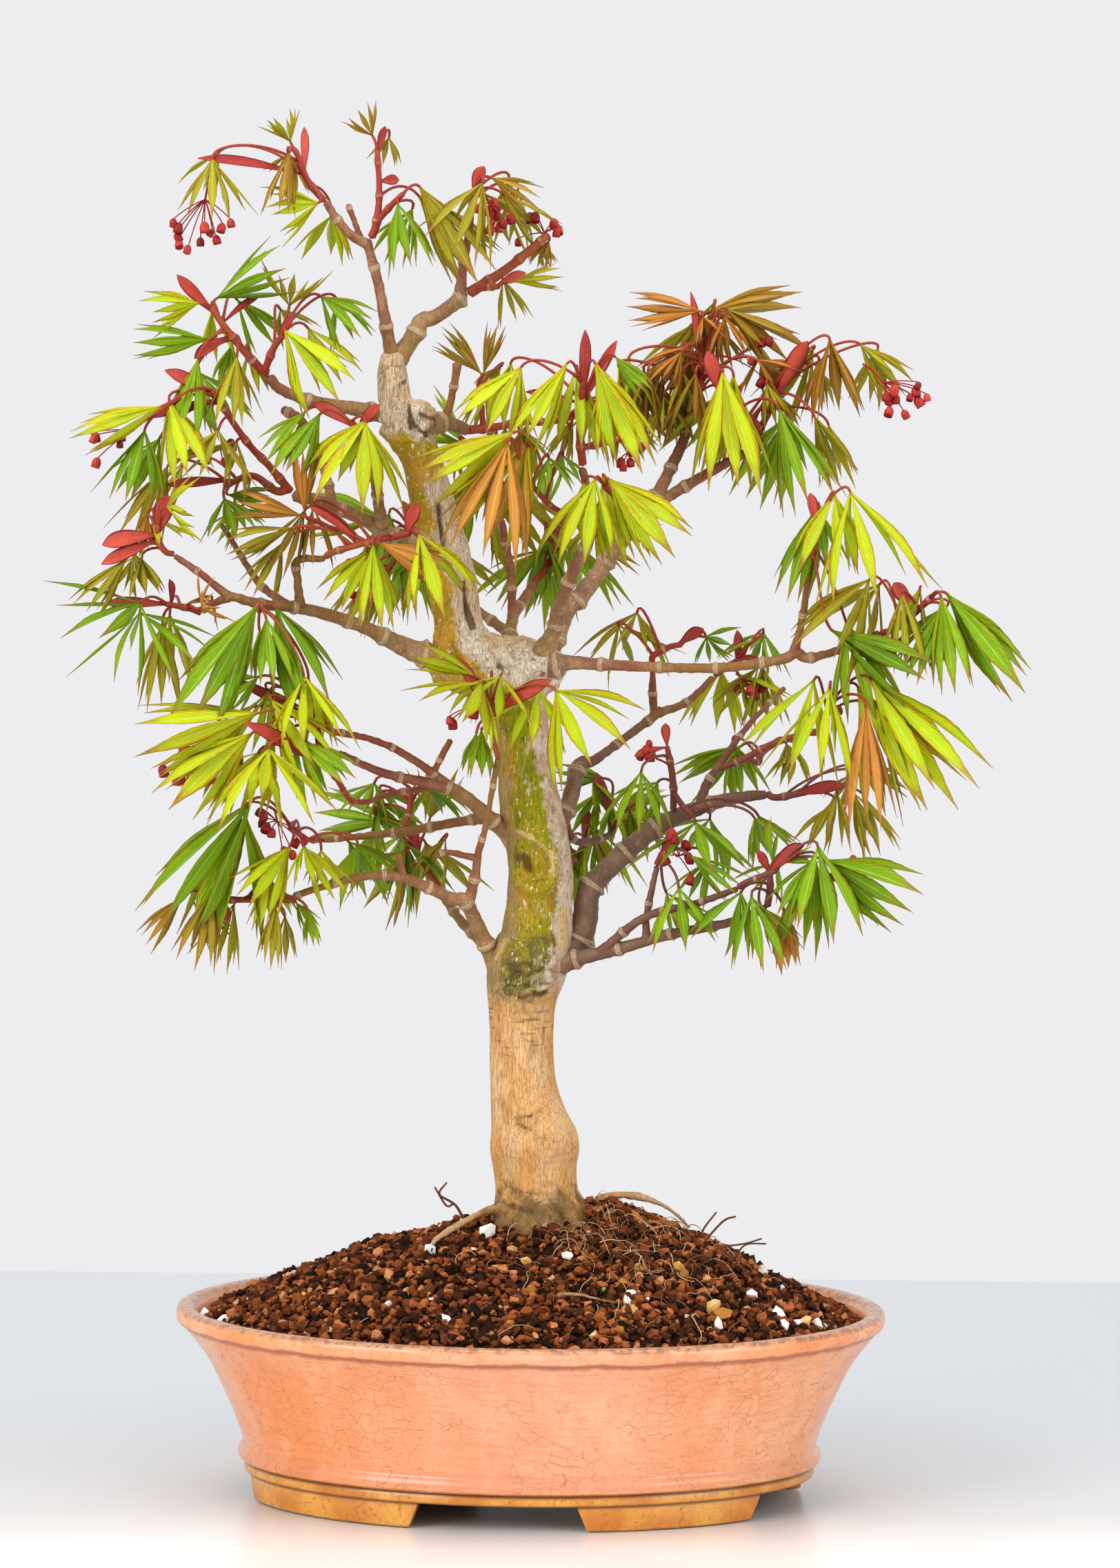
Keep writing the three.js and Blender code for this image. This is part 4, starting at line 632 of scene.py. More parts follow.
# %% Routes of the tree
TRUNK = {
    "stem": [
        (1, 0, -24, 22), (1, 0, -8, 23), (1, 0, 0, 21.5), (0, 0, 8, 18.2), (-1, 0, 20, 17.6),
        (-2, 0, 31, 18.4), (-4, 0, 42, 16), (-6, 0, 54, 14.4), (-7, 0, 72, 13.4), (-7, 0, 88, 14.2),
        (-6, 0, 99, 16.4), (-4, 0, 108, 17), (-1, 0, 117, 15.4), (0, 0, 130, 13.7), (0, 0, 146, 13.9),
        (-2, 0, 164, 13.1), (-5, 0, 178, 12.6), (-8, 0, 200, 11.8), (-12, 0, 222, 12.5), (-22, 0, 230, 14),
        (-33, 2, 240, 12), (-36, 3, 252, 10.3), (-40, 5, 275, 10.3), (-45, 5, 292, 9.8), (-49, 3, 309, 8.7),
        (-53, 1, 321, 8.2), (-58, 0, 330, 8.4), (-62, 0, 340, 7), (-64, 0, 353, 6.5), (-64, 0, 362, 5),
    ],
    "crotch": [(-44, 0, 231, 8), (-26, 0, 231, 13.5), (-6, 1, 230, 13), (6, 0, 231, 8)],
    "knob": [(-57, 0, 333, 6), (-52, -6, 339, 6.5)],
    "burl": [(-2, 0, 31, 13), (6, -5, 35, 12.5)],
    "root_left": [
        (-5, -4, -3, 9), (-14, -9, 2.5, 3.6), (-22, -14, 2.5, 2.2), (-32, -20, -2, 1.8),
        (-41, -25, -7, 1.4), (-47, -29, -14, 1.2),
    ],
    "root_right": [
        (11, 4, -4, 9), (22, 8, 2, 3.2), (30, 10, 6.2, 1.8), (42, 13, 6, 1.7), (52, 15, 2.6, 1.5),
        (59, 17, -2, 1.3), (66, 20, -9, 1.2),
    ],
    "root_front": [(4, -6, -4, 11), (13, -12, -2, 6.4), (20, -22, -12, 3)],
    "root_back": [(-3, 8, -4, 10), (-11, 26, -7, 4.5), (-19, 44, -16, 2.2)],
}

BRANCHES = {
    "apex_left": [
        [(-64, 0, 360, 2.7), (-67, -2, 375, 2.5), (-70, -3, 391, 2.1), (-75, -4, 409, 2)],
        [(-75, -4, 408, 1.9), (-82, -5, 412, 1.9), (-88, -6, 419, 1.8), (-92, -7, 425, 1.7)],
        [(-77, -4, 409, 1.2), (-83, -2, 424, 1.1)],
    ],
    "apex_right": [
        [
            (-62, 2, 360, 3.6), (-55, 3, 370, 3.6), (-52, 4, 376, 3.5), (-46, 5, 378, 3.1),
            (-35, 6, 386, 3.2),
        ],
        [(-36, 6, 387, 2.4), (-35, 5, 399, 1.9), (-33, 4, 410, 1.7), (-32, 3, 420, 1.5)],
    ],
    "left_high": [
        [
            (-62, 0, 336, 4), (-78, -2, 339, 3.1), (-96, -6, 342, 2.6), (-110, -9, 347, 2.3),
            (-115, -10, 352, 2.2),
        ],
    ],
    "left_upper": [
        [
            (-48, 2, 284, 5), (-64, 0, 286, 3.6), (-75, -4, 293, 3), (-95, -10, 301, 2.6),
            (-104, -13, 303, 2.5),
        ],
        [(-68, -3, 291, 2.8), (-70, -16, 307, 2), (-73, -24, 319, 1.8), (-74, -30, 326, 1.6)],
        [(-88, -8, 298, 2), (-93, 2, 316, 1.9), (-102, 8, 333, 1.9), (-110, 12, 338, 2)],
    ],
    "left_long": [
        [
            (-38, 0, 234, 6), (-54, -3, 238, 4.6), (-72, -11, 247, 2.9), (-87, -18, 253, 2.6),
            (-102, -25, 257, 2.4), (-117, -34, 259, 2.1), (-131, -39, 263, 1.9),
        ],
        [(-131, -39, 263, 1.8), (-142, -41, 272, 1.4), (-152, -44, 279, 1.3)],
        [(-130, -39, 262, 1.7), (-137, -36, 259, 1.4), (-141, -34, 256, 1.2)],
        [(-101, -25, 258, 2), (-102, -28, 269, 1.6), (-102, -29, 277, 1.7), (-91, -32, 278, 1.3)],
        [(-106, -26, 258, 1.7), (-118, -17, 266, 1.5), (-128, -8, 280, 1.2), (-135, -2, 290, 1.1)],
    ],
    "left_lower": [
        [
            (-10, 0, 157, 4.2), (-18, -3, 165, 3.2), (-34, -11, 179, 2.8), (-45, -14, 183, 2.3),
            (-66, -20, 188, 1.8), (-84, -30, 197, 1.2),
        ],
        [(-35, -11, 180, 1.9), (-54, -20, 194, 1.6), (-69, -27, 202, 1.4), (-84, -36, 206, 1.3)],
        [
            (-17, -3, 165, 2.1), (-24, 2, 167, 2.1), (-35, 8, 165, 2), (-58, 16, 160, 1.8),
            (-92, 26, 155, 1.2),
        ],
        [(-43, -14, 182, 1.6), (-62, -5, 178, 1.3), (-73, -2, 174, 1.2)],
        [(-45, -14, 183, 1.5), (-44, -17, 190, 1.3), (-38, -22, 202, 1.2)],
    ],
    "left_low": [
        [
            (-16, 0, 103, 5), (-22, -4, 114, 3.4), (-31, -12, 133, 2.9), (-37, -14, 135, 2.7),
            (-57, -21, 144, 2), (-74, -26, 145, 1.8), (-94, -32, 140, 1.5), (-102, -34, 137, 1.4),
        ],
        [
            (-30, -11, 132, 2.3), (-27, -14, 145, 2), (-26, -17, 154, 1.6), (-23, -21, 166, 1.3),
            (-18, -31, 195, 1.2),
        ],
        [(-26, -16, 152, 1.4), (-39, -20, 155, 1.2), (-44, -21, 153, 1.2)],
        [(-57, -21, 144, 1.5), (-59, -23, 154, 1.2)],
    ],
    "right_long": [
        [
            (-4, -3, 231, 7), (6, -5, 233, 5), (13, -6, 234, 3), (39, -10, 233, 2.2), (74, -14, 233, 2),
            (99, -18, 237, 2.2), (106, -19, 240, 2.3), (111, -20, 238, 2), (125, -22, 242, 1.6),
            (140, -25, 249, 1.5),
        ],
        [(105, -19, 240, 1.9), (108, -21, 253, 1.5), (111, -25, 276, 1.4)],
    ],
    "right_main": [
        [
            (-3, 5, 232, 6), (4, 7, 240, 4.2), (10, 10, 255, 3.9), (16, 12, 261, 3.8), (30, 15, 280, 3.3),
            (48, 19, 304, 3),
        ],
        [(47, 19, 302, 2.8), (52, 22, 312, 2.5), (59, 28, 327, 2.2), (59, 29, 331, 2)],
        [(46, 19, 301, 2.9), (51, 20, 302, 2.5), (66, 21, 311, 2.2), (91, 24, 325, 1.7)],
    ],
    "centre": [
        [
            (0, -5, 238, 4), (5, -8, 248, 3.2), (7, -11, 258, 3), (16, -20, 281, 2.3), (23, -27, 292, 1.9),
            (35, -34, 296, 1.4),
        ],
        [(19, -23, 286, 2), (18, -26, 306, 1.8), (16, -27, 316, 1.8)],
        [(18, -25, 290, 1.6), (15, -28, 295, 1.3), (9, -31, 298, 1.2)],
    ],
    "top_back": [
        [(-53, 1, 329, 5), (-45, 6, 333, 3.9), (-40, 11, 333, 3.2), (-33, 18, 330, 2.3)],
        [(-42, 9, 334, 2), (-40, 9, 341, 1.6), (-38, 8, 351, 1.6), (-37, 7, 358, 2)],
    ],
    "back": [
        [
            (-16, 6, 230, 6), (-15, 20, 237, 3.4), (-14, 34, 243, 2.8), (-12, 52, 251, 2.3),
            (-4, 70, 262, 1.9),
        ],
        [(-14, 34, 243, 2.2), (-30, 48, 254, 1.9), (-44, 60, 268, 1.6)],
        [(-13, 44, 247, 2), (-14, 50, 268, 1.7), (-18, 54, 290, 1.5)],
    ],
    "right_lower": [
        [
            (5, 1, 110, 8), (15, 3, 114, 6.2), (19, 5, 124, 5.6), (21, 7, 137, 5), (32, 11, 149, 4.5),
            (49, 14, 163, 4), (66, 16, 171, 3.3), (79, 18, 175, 2.8), (95, 21, 177, 1.9),
        ],
        [(67, 16, 172, 2), (70, 18, 181, 1.9), (78, 22, 193, 1.6), (88, 29, 206, 1.2), (103, 38, 221, 1)],
    ],
    "right_low": [
        [
            (2, -4, 104, 7), (15, -7, 109, 3.6), (33, -11, 114, 2.6), (54, -18, 121, 2.2),
            (78, -26, 127, 1.9), (94, -31, 134, 1.7),
        ],
        [(26, -10, 113, 1.9), (44, -17, 128, 1.8), (65, -25, 135, 1.5), (82, -33, 142, 1.3)],
        [(45, -16, 119, 1.7), (45, -14, 129, 1.4), (49, -12, 149, 1.2)],
    ],
    "right_back": [
        [
            (3, 7, 160, 5), (11, 13, 171, 3.6), (16, 21, 188, 3.2), (22, 26, 190, 2.2), (33, 38, 197, 1.8),
            (51, 50, 210, 2),
        ],
        [(50, 49, 209, 1.8), (62, 58, 213, 1.6), (73, 66, 223, 1.2)],
        [(48, 48, 207, 1.7), (47, 44, 219, 1.6), (47, 40, 229, 1.2)],
        [(9, 12, 168, 1.8), (15, 24, 156, 1.6), (28, 46, 156, 1.3), (30, 56, 157, 1.2)],
    ],
    "back_low": [
        [
            (-10, 9, 90, 5), (-14, 20, 98, 3.4), (-22, 38, 108, 2.6), (-34, 56, 118, 2.1),
            (-44, 70, 130, 1.7),
        ],
        [(-20, 34, 106, 2.2), (-6, 48, 120, 1.8), (10, 60, 136, 1.5)],
    ],
}

SHOOTS = {
    "crown_left": {
        "stems": [[(-93, -7, 426, 1.6), (-99, -9, 433, 1.5), (-104, -11, 442, 1.3)]],
        "leaves": [
            (-139, -18, 443, -90, 60, 30, "O"), (-107, -9, 450, 115, 60, 16, "O"),
            (-107, -16, 446, -100, 30, 27, "B"), (-95, -14, 425, -165, 60, 24, "Y"),
        ],
        "bracts": [(-143, -20, 445, 4.5), (-101, -10, 456, 3.2)],
    },
    "crown_right": {
        "stems": [
            [(-73, -4, 411, 1.8), (-71, -4, 417, 1.7), (-70, -4, 430, 1.3), (-71, -4, 447, 1.2)],
            [(-71, -4, 417, 1.4), (-66, -8, 423, 1.3), (-60, -12, 429, 1.2)],
        ],
        "leaves": [
            (-73, -5, 453, 120, 60, 15, "B"), (-62, -14, 425, -75, 45, 31, "G"),
            (-53, -8, 432, -55, 30, 46, "O"),
        ],
        "bracts": [(-68, -3, 457, 3), (-62, -4, 435, 4)],
    },
    "top_right": {
        "stems": [[(-32, 3, 421, 1.5), (-31, 2, 429, 1.4), (-29, 2, 433, 1.3)]],
        "leaves": [
            (-23, -6, 436, -25, 35, 22, "B"), (-27, -12, 434, -115, 60, 35, "O"),
            (-18, 2, 429, -45, 45, 30, "O"),
        ],
        "bracts": [(-27, 0, 441, 5)],
    },
    "top_side": {
        "stems": [
            [(-32, 6, 388, 2.4), (-18, 8, 397, 2), (-7, 10, 406, 1.8), (0, 12, 412, 1.5)],
            [(-29, 6, 390, 1.8), (-20, -4, 391, 1.3)],
        ],
        "leaves": [(-14, -8, 393, 10, 25, 21, "O"), (1, 16, 410, -115, 45, 14, "B")],
        "bracts": [(-9, -4, 397, 4)],
    },
    "left_high_tip": {
        "stems": [
            [(-116, -10, 354, 2), (-121, -11, 358, 1.8), (-132, -15, 371, 1.6), (-139, -18, 381, 1.4)],
            [(-117, -11, 355, 1.6), (-113, -14, 365, 1.5), (-109, -18, 370, 1.3)],
        ],
        "leaves": [
            (-144, -22, 383, -175, 45, 24, "Y"), (-137, -12, 385, 30, 40, 36, "G"),
            (-140, -20, 368, 180, 25, 30, "G"), (-144, -28, 360, -100, 30, 33, "G"),
            (-128, -24, 361, -95, 45, 29, "O"), (-108, -26, 372, -50, 45, 37, "Y"),
            (-107, -8, 382, 80, 80, 24, "O"), (-94, -4, 386, -40, 55, 28, "G"),
        ],
        "bracts": [
            (-153, -20, 394, 4.5), (-146, -18, 361, 5), (-105, -20, 379, 3.4), (-120, -10, 387, 3.4),
        ],
    },
    "left_outer": {
        "stems": [
            [(-106, -13, 305, 2), (-115, -17, 316, 1.6), (-124, -22, 326, 1.5), (-138, -29, 347, 1.3)],
            [(-107, -14, 306, 2), (-112, -12, 305, 1.8), (-122, -8, 311, 1.5), (-133, -16, 307, 1.3)],
        ],
        "leaves": [
            (-135, -36, 331, -105, 80, 28, "O"), (-158, -46, 341, -160, 30, 37, "Y"),
            (-165, -44, 331, -100, 50, 33, "G"), (-133, -22, 302, -70, 80, 21, "G"),
            (-157, -16, 315, -115, 40, 36, "O"), (-132, -10, 303, -5, 25, 20, "G"),
        ],
        "bracts": [(-156, -34, 356, 5.5), (-165, -42, 337, 4), (-156, -20, 308, 4)],
    },
    "left_whorl": {
        "stems": [
            [(-153, -44, 280, 1.3), (-156, -46, 281, 1.3), (-159, -48, 286, 1.3), (-159, -50, 292, 1.3)],
        ],
        "leaves": [
            (-155, -56, 300, 5, 85, 22, "Y"), (-172, -52, 278, -130, 30, 28, "O"),
            (-166, -44, 278, -80, 55, 18, "O"), (-164, -44, 295, -90, 30, 12, "R"),
        ],
        "bracts": [(-155, -52, 304, 7), (-181, -54, 285, 7), (-181, -56, 277, 5)],
    },
    "left_front": {
        "stems": [[(-90, -33, 279, 1.4), (-87, -36, 281, 1.4), (-71, -44, 286, 1.4), (-55, -52, 290, 1.4)]],
        "leaves": [
            (-100, -38, 296, 165, 25, 29, "R"), (-104, -40, 291, -165, 25, 28, "O"),
            (-99, -34, 297, 90, 25, 28, "R"), (-70, -54, 285, -85, 35, 34, "Y"),
            (-67, -60, 286, -20, 20, 31, "R"), (-51, -62, 290, -65, 60, 39, "Y"),
        ],
        "bracts": [(-96, -40, 301, 4), (-52, -55, 302, 5.5)],
    },
    "left_inner": {
        "stems": [[(-74, -30, 327, 1.6), (-80, -34, 335, 1.4)]],
        "leaves": [(-74, -44, 335, -95, 65, 40, "Y"), (-93, -36, 338, -120, 35, 30, "G")],
        "bracts": [(-69, -40, 342, 4.5), (-95, -32, 343, 5.5)],
    },
    "left_long_front": {
        "stems": [[(-117, -36, 259, 1.5), (-117, -47, 257, 1.3)]],
        "leaves": [
            (-118, -56, 259, -120, 30, 54, "G"), (-114, -50, 254, -80, 45, 31, "G"),
            (-98, -58, 231, -85, 65, 38, "Y"),
        ],
    },
    "left_long_under": {
        "stems": [[(-142, -34, 255, 1.3), (-147, -36, 257, 1.3), (-156, -40, 259, 1.2)]],
        "leaves": [
            (-141, -46, 258, 30, 100, 16, "R"), (-166, -50, 260, -130, 100, 44, "G"),
            (-158, -30, 251, -90, 30, 37, "O"),
        ],
        "bracts": [(-154, -40, 269, 3.5), (-180, -46, 260, 4.5)],
    },
    "lower_left_top": {
        "stems": [[(-85, -37, 206, 1.4), (-89, -42, 208, 1.4), (-95, -50, 211, 1.3)]],
        "leaves": [
            (-117, -66, 216, -165, 40, 53, "Y"), (-119, -72, 208, -140, 40, 45, "Y"),
            (-111, -60, 221, -50, 50, 38, "Y"), (-117, -52, 230, -155, 65, 21, "G"),
        ],
        "bracts": [(-126, -46, 229, 4)],
    },
    "lower_left_front": {
        "stems": [[(-74, -2, 174, 1.2), (-80, -12, 176, 1.2), (-85, -30, 186, 1.2), (-90, -52, 194, 1.3)]],
        "leaves": [(-111, -86, 203, -90, 90, 43, "Y"), (-99, -70, 205, -40, 50, 29, "G")],
        "bracts": [(-118, -80, 213, 5.5), (-92, -66, 210, 3.5)],
    },
    "lower_left_mid": {
        "stems": [[(-93, 26, 155, 1.2), (-99, 10, 157, 1.2), (-105, -10, 164, 1.2)]],
        "leaves": [
            (-121, -34, 176, -125, 35, 60, "G"), (-104, -46, 159, -125, 45, 33, "Y"),
            (-98, -52, 160, -75, 65, 19, "Y"), (-77, 8, 155, -90, 60, 31, "G"),
        ],
    },
    "lower_left_back": {
        "stems": [[(-58, 17, 161, 1.3), (-56, 22, 167, 1.3), (-55, 26, 177, 1.2)]],
        "leaves": [
            (-71, 34, 179, -105, 80, 24, "G"), (-48, 30, 178, -75, 85, 26, "G"),
            (-70, 44, 170, -60, 60, 28, "G"),
        ],
    },
    "low_tip": {
        "stems": [
            [(-103, -34, 136, 1.4), (-114, -36, 136, 1.4), (-129, -40, 136, 1.3), (-135, -43, 136, 1.2)],
        ],
        "leaves": [
            (-136, -50, 140, -105, 45, 33, "B"), (-148, -48, 138, -130, 25, 24, "B"),
            (-109, -52, 135, -95, 25, 25, "O"), (-112, -46, 146, -100, 30, 21, "Y"),
            (-96, -44, 132, -80, 30, 14, "G"),
        ],
        "bracts": [(-130, -44, 128, 4)],
    },
    "front_pair": {
        "stems": [[(-18, -31, 196, 1.2), (-20, -35, 204, 1.2), (-21, -38, 211, 1.2), (-22, -40, 220, 1.2)]],
        "leaves": [
            (-25, -46, 228, -120, 95, 34, "Y"), (-28, -44, 231, 155, 25, 27, "Y"),
            (-25, -28, 207, -90, 30, 21, "G"), (6, -58, 226, -50, 75, 42, "Y"),
        ],
        "bracts": [(-34, -46, 238, 4.5), (2, -54, 230, 6)],
    },
    "centre_top": {
        "stems": [
            [(16, -27, 318, 1.8), (15, -28, 327, 1.8), (15, -29, 337, 1.8), (16, -31, 352, 1.6)],
            [(15, -28, 325, 1.5), (22, -20, 326, 1.5), (35, -8, 329, 1.3)],
        ],
        "leaves": [
            (-10, -26, 358, -120, 50, 34, "Y"), (9, -36, 360, -120, 25, 38, "Y"),
            (21, -44, 360, -65, 30, 46, "Y"), (29, -34, 363, -45, 25, 20, "G"),
            (32, -6, 338, -80, 45, 19, "O"),
        ],
        "bracts": [(17, -32, 373, 4.5), (29, -32, 369, 4), (-8, -20, 349, 3.5)],
    },
    "centre_back": {
        "stems": [
            [(-32, 19, 330, 2.1), (-21, 28, 331, 1.8), (-9, 38, 333, 1.6), (3, 46, 333, 1.5),
             (16, 52, 336, 1.4)],
            [(-26, 24, 331, 1.4), (-27, 19, 341, 1.2), (-28, 15, 350, 1.2)],
        ],
        "leaves": [
            (20, 56, 341, -80, 45, 22, "O"), (25, 50, 341, -45, 30, 29, "O"),
            (12, 60, 334, -110, 30, 20, "O"), (-27, 12, 354, 135, 25, 25, "B"),
            (-26, 18, 354, 75, 25, 21, "B"), (-8, 48, 331, -100, 50, 30, "O"),
            (-20, 40, 330, -120, 45, 28, "O"),
        ],
        "bracts": [(4, 48, 344, 4)],
    },
    "centre_left": {
        "stems": [[(8, -31, 298, 1.2), (2, -36, 302, 1.2), (-5, -42, 310, 1.2), (-10, -46, 317, 1.2)]],
        "leaves": [
            (-13, -58, 332, -150, 30, 44, "Y"), (-15, -66, 328, -100, 45, 54, "R"),
            (2, -34, 321, -85, 80, 19, "G"),
        ],
        "bracts": [(-16, -50, 310, 4), (-8, -40, 327, 3.5)],
    },
    "centre_right": {
        "stems": [[(35, -35, 297, 1.3), (30, -42, 305, 1.3), (25, -48, 310, 1.3)]],
        "leaves": [(21, -56, 313, -100, 50, 38, "Y"), (27, -54, 313, -45, 40, 40, "Y")],
    },
    "right_crown": {
        "stems": [[(59, 29, 332, 1.9), (64, 26, 343, 1.6), (66, 24, 356, 1.5), (65, 22, 372, 1.4)]],
        "leaves": [
            (65, 18, 381, 176, 30, 30, "R"), (67, 26, 380, 5, 30, 43, "B"), (66, 14, 379, -75, 60, 17, "R"),
            (60, 14, 366, -150, 25, 25, "R"), (49, 20, 356, -130, 70, 24, "B"),
            (58, 12, 355, -85, 55, 27, "O"), (57, 10, 364, -118, 45, 26, "R"),
            (43, 12, 356, -95, 40, 34, "B"), (35, 14, 360, -75, 35, 40, "Y"),
            (50, 16, 345, -80, 50, 24, "O"), (63, 8, 355, -100, 40, 34, "B"),
            (79, 6, 354, -92, 35, 46, "Y"), (89, 12, 361, -35, 50, 24, "R"),
            (76, 14, 382, -35, 30, 40, "B"), (75, 10, 379, -80, 55, 20, "R"),
        ],
        "bracts": [(63, 20, 389, 4)],
    },
    "right_second": {
        "stems": [
            [(91, 24, 326, 1.6), (89, 18, 334, 1.5), (80, 8, 341, 1.4), (72, 0, 348, 1.3)],
            [(90, 22, 329, 1.6), (94, 22, 339, 1.4), (96, 18, 350, 1.3)],
        ],
        "leaves": [
            (74, -12, 356, -85, 40, 52, "Y"), (98, -6, 341, -70, 35, 47, "G"),
            (113, 4, 338, -65, 30, 33, "O"), (93, 10, 351, -75, 40, 20, "O"),
            (119, 2, 370, -80, 40, 36, "B"), (132, 8, 368, -45, 40, 28, "O"),
            (115, 14, 361, -95, 30, 22, "B"),
        ],
        "bracts": [(68, -4, 364, 6), (110, 8, 370, 6.5)],
    },
    "right_up": {
        "stems": [[(111, -25, 277, 1.4), (112, -26, 284, 1.4), (114, -27, 297, 1.3)]],
        "leaves": [
            (127, -38, 308, -75, 60, 53, "Y"), (114, -18, 301, -110, 25, 37, "G"),
            (121, -34, 250, -25, 30, 45, "G"),
        ],
        "bracts": [(111, -24, 307, 4)],
    },
    "right_tip": {
        "stems": [[(141, -25, 249, 1.5), (147, -26, 251, 1.4), (155, -28, 258, 1.4), (162, -30, 265, 1.3)]],
        "leaves": [
            (168, -34, 266, -50, 25, 46, "G"), (165, -42, 265, -80, 25, 39, "G"),
            (149, -34, 266, -85, 40, 35, "O"), (136, -20, 271, -125, 55, 44, "O"),
        ],
        "bracts": [(146, -22, 270, 5.5)],
    },
    "right_front": {
        "stems": [
            [(76, 20, 188, 1.5), (87, 17, 193, 1.5), (97, 12, 199, 1.4), (109, 4, 204, 1.3),
             (117, -4, 207, 1.3), (120, -24, 219, 1.2)],
            [(87, 17, 193, 1.3), (92, 24, 190, 1.2), (93, 28, 194, 1.2)],
        ],
        "leaves": [
            (119, -44, 227, -100, 55, 44, "Y"), (137, -36, 230, -55, 40, 60, "Y"),
            (134, -50, 220, -90, 25, 49, "R"), (85, 40, 196, -145, 30, 32, "G"),
            (108, 34, 196, -95, 60, 20, "O"),
        ],
        "bracts": [(126, -16, 216, 4)],
    },
    "right_hanging": {
        "stems": [[(96, 21, 177, 1.6), (100, 18, 176, 1.5), (112, 10, 179, 1.3)]],
        "leaves": [
            (125, 2, 179, -100, 45, 27, "O"), (132, 8, 179, -60, 40, 31, "O"),
            (139, 14, 190, -25, 30, 22, "O"),
        ],
        "bracts": [(126, -4, 184, 5)],
    },
    "right_back_top": {
        "stems": [[(47, 40, 230, 1.4), (47, 38, 234, 1.4), (54, 38, 238, 1.3), (59, 38, 239, 1.2)]],
        "leaves": [(40, 46, 252, -100, 80, 34, "O"), (69, 44, 242, -10, 60, 18, "G")],
        "bracts": [(68, 38, 246, 5)],
    },
    "right_back_out": {
        "stems": [[(74, 67, 224, 1.3), (79, 70, 227, 1.2), (86, 72, 232, 1.2)]],
        "leaves": [
            (95, 78, 242, -105, 80, 24, "G"), (94, 64, 229, -80, 35, 30, "O"),
            (77, 82, 225, -95, 50, 30, "Y"),
        ],
        "bracts": [(84, 78, 242, 4)],
    },
    "right_mid": {
        "stems": [
            [(56, 13, 171, 1.5), (56, 11, 179, 1.5), (55, 8, 188, 1.5), (53, 4, 198, 1.2)],
            [(56, 11, 178, 1.4), (60, 5, 173, 1.3), (64, 1, 169, 1.2)],
        ],
        "leaves": [
            (42, -2, 188, -90, 60, 30, "G"), (65, -4, 167, -85, 100, 36, "G"),
            (90, 0, 169, -60, 60, 24, "G"),
        ],
        "bracts": [(39, 0, 195, 3.5), (52, 4, 208, 3.5)],
    },
    "right_inner": {
        "stems": [[(31, 57, 158, 1.3), (30, 58, 164, 1.3)]],
        "leaves": [
            (25, 62, 174, -120, 40, 27, "G"), (27, 68, 179, 175, 35, 22, "G"),
            (38, 62, 166, -80, 30, 24, "G"),
        ],
        "bracts": [(24, 60, 182, 4)],
    },
    "right_low_mid": {
        "stems": [[(49, -12, 150, 1.3), (51, -14, 155, 1.2)]],
        "leaves": [(58, -28, 142, -85, 65, 30, "G"), (63, -24, 155, -35, 30, 25, "G")],
        "bracts": [(56, -10, 163, 4)],
    },
    "right_low_tip": {
        "stems": [[(95, -31, 135, 1.6), (96, -31, 142, 1.4), (96, -30, 150, 1.2)]],
        "leaves": [
            (97, -30, 153, 60, 75, 22, "G"), (88, -42, 140, -80, 60, 32, "G"),
            (102, -30, 133, -85, 25, 24, "D"),
        ],
        "bracts": [(91, -30, 158, 3.5)],
    },
    "right_low_front": {
        "stems": [[(83, -33, 143, 1.3), (87, -37, 146, 1.2), (98, -44, 151, 1.2)]],
        "leaves": [(115, -54, 162, -85, 55, 41, "G"), (118, -48, 156, -25, 40, 42, "G")],
        "bracts": [(108, -50, 163, 6)],
    },
    "back_low_left": {
        "stems": [[(-44, 70, 131, 1.5), (-50, 76, 140, 1.3), (-56, 80, 150, 1.2)]],
        "leaves": [
            (-60, 88, 152, -110, 60, 40, "G"), (-50, 90, 148, -70, 60, 38, "O"),
            (-66, 78, 158, 170, 40, 34, "G"), (-48, 76, 160, 80, 50, 26, "O"),
        ],
        "bracts": [(-58, 78, 162, 4.5)],
    },
    "back_low_right": {
        "stems": [[(10, 60, 137, 1.4), (16, 68, 146, 1.2), (20, 72, 154, 1.2)]],
        "leaves": [
            (24, 80, 156, -80, 60, 40, "G"), (12, 84, 150, -110, 60, 38, "G"),
            (28, 74, 160, 10, 45, 32, "O"),
        ],
        "bracts": [(20, 72, 166, 4)],
    },
    "back_mid": {
        "stems": [[(-4, 71, 263, 1.6), (2, 78, 270, 1.3), (6, 84, 280, 1.2)]],
        "leaves": [
            (10, 92, 282, -80, 60, 42, "G"), (0, 94, 276, -110, 60, 40, "G"),
            (18, 86, 288, -20, 50, 34, "O"), (0, 88, 292, 100, 50, 26, "G"),
        ],
        "bracts": [(8, 84, 293, 4.5)],
    },
    "back_left": {
        "stems": [[(-44, 60, 269, 1.4), (-52, 68, 276, 1.2), (-58, 72, 284, 1.2)]],
        "leaves": [
            (-64, 80, 284, -110, 60, 42, "G"), (-52, 84, 280, -80, 60, 38, "O"),
            (-70, 70, 290, 175, 40, 34, "G"), (-72, 46, 270, -115, 40, 31, "O"),
            (-58, 50, 276, -50, 40, 28, "G"),
        ],
        "bracts": [(-60, 72, 297, 4.5)],
    },
    "back_top": {
        "stems": [[(-18, 54, 291, 1.3), (-20, 58, 302, 1.2), (-24, 60, 312, 1.2)]],
        "leaves": [
            (-28, 68, 312, -105, 60, 40, "G"), (-18, 70, 306, -70, 60, 38, "O"),
            (-34, 62, 322, 140, 50, 28, "G"),
        ],
        "bracts": [(-24, 60, 325, 4)],
    },
}

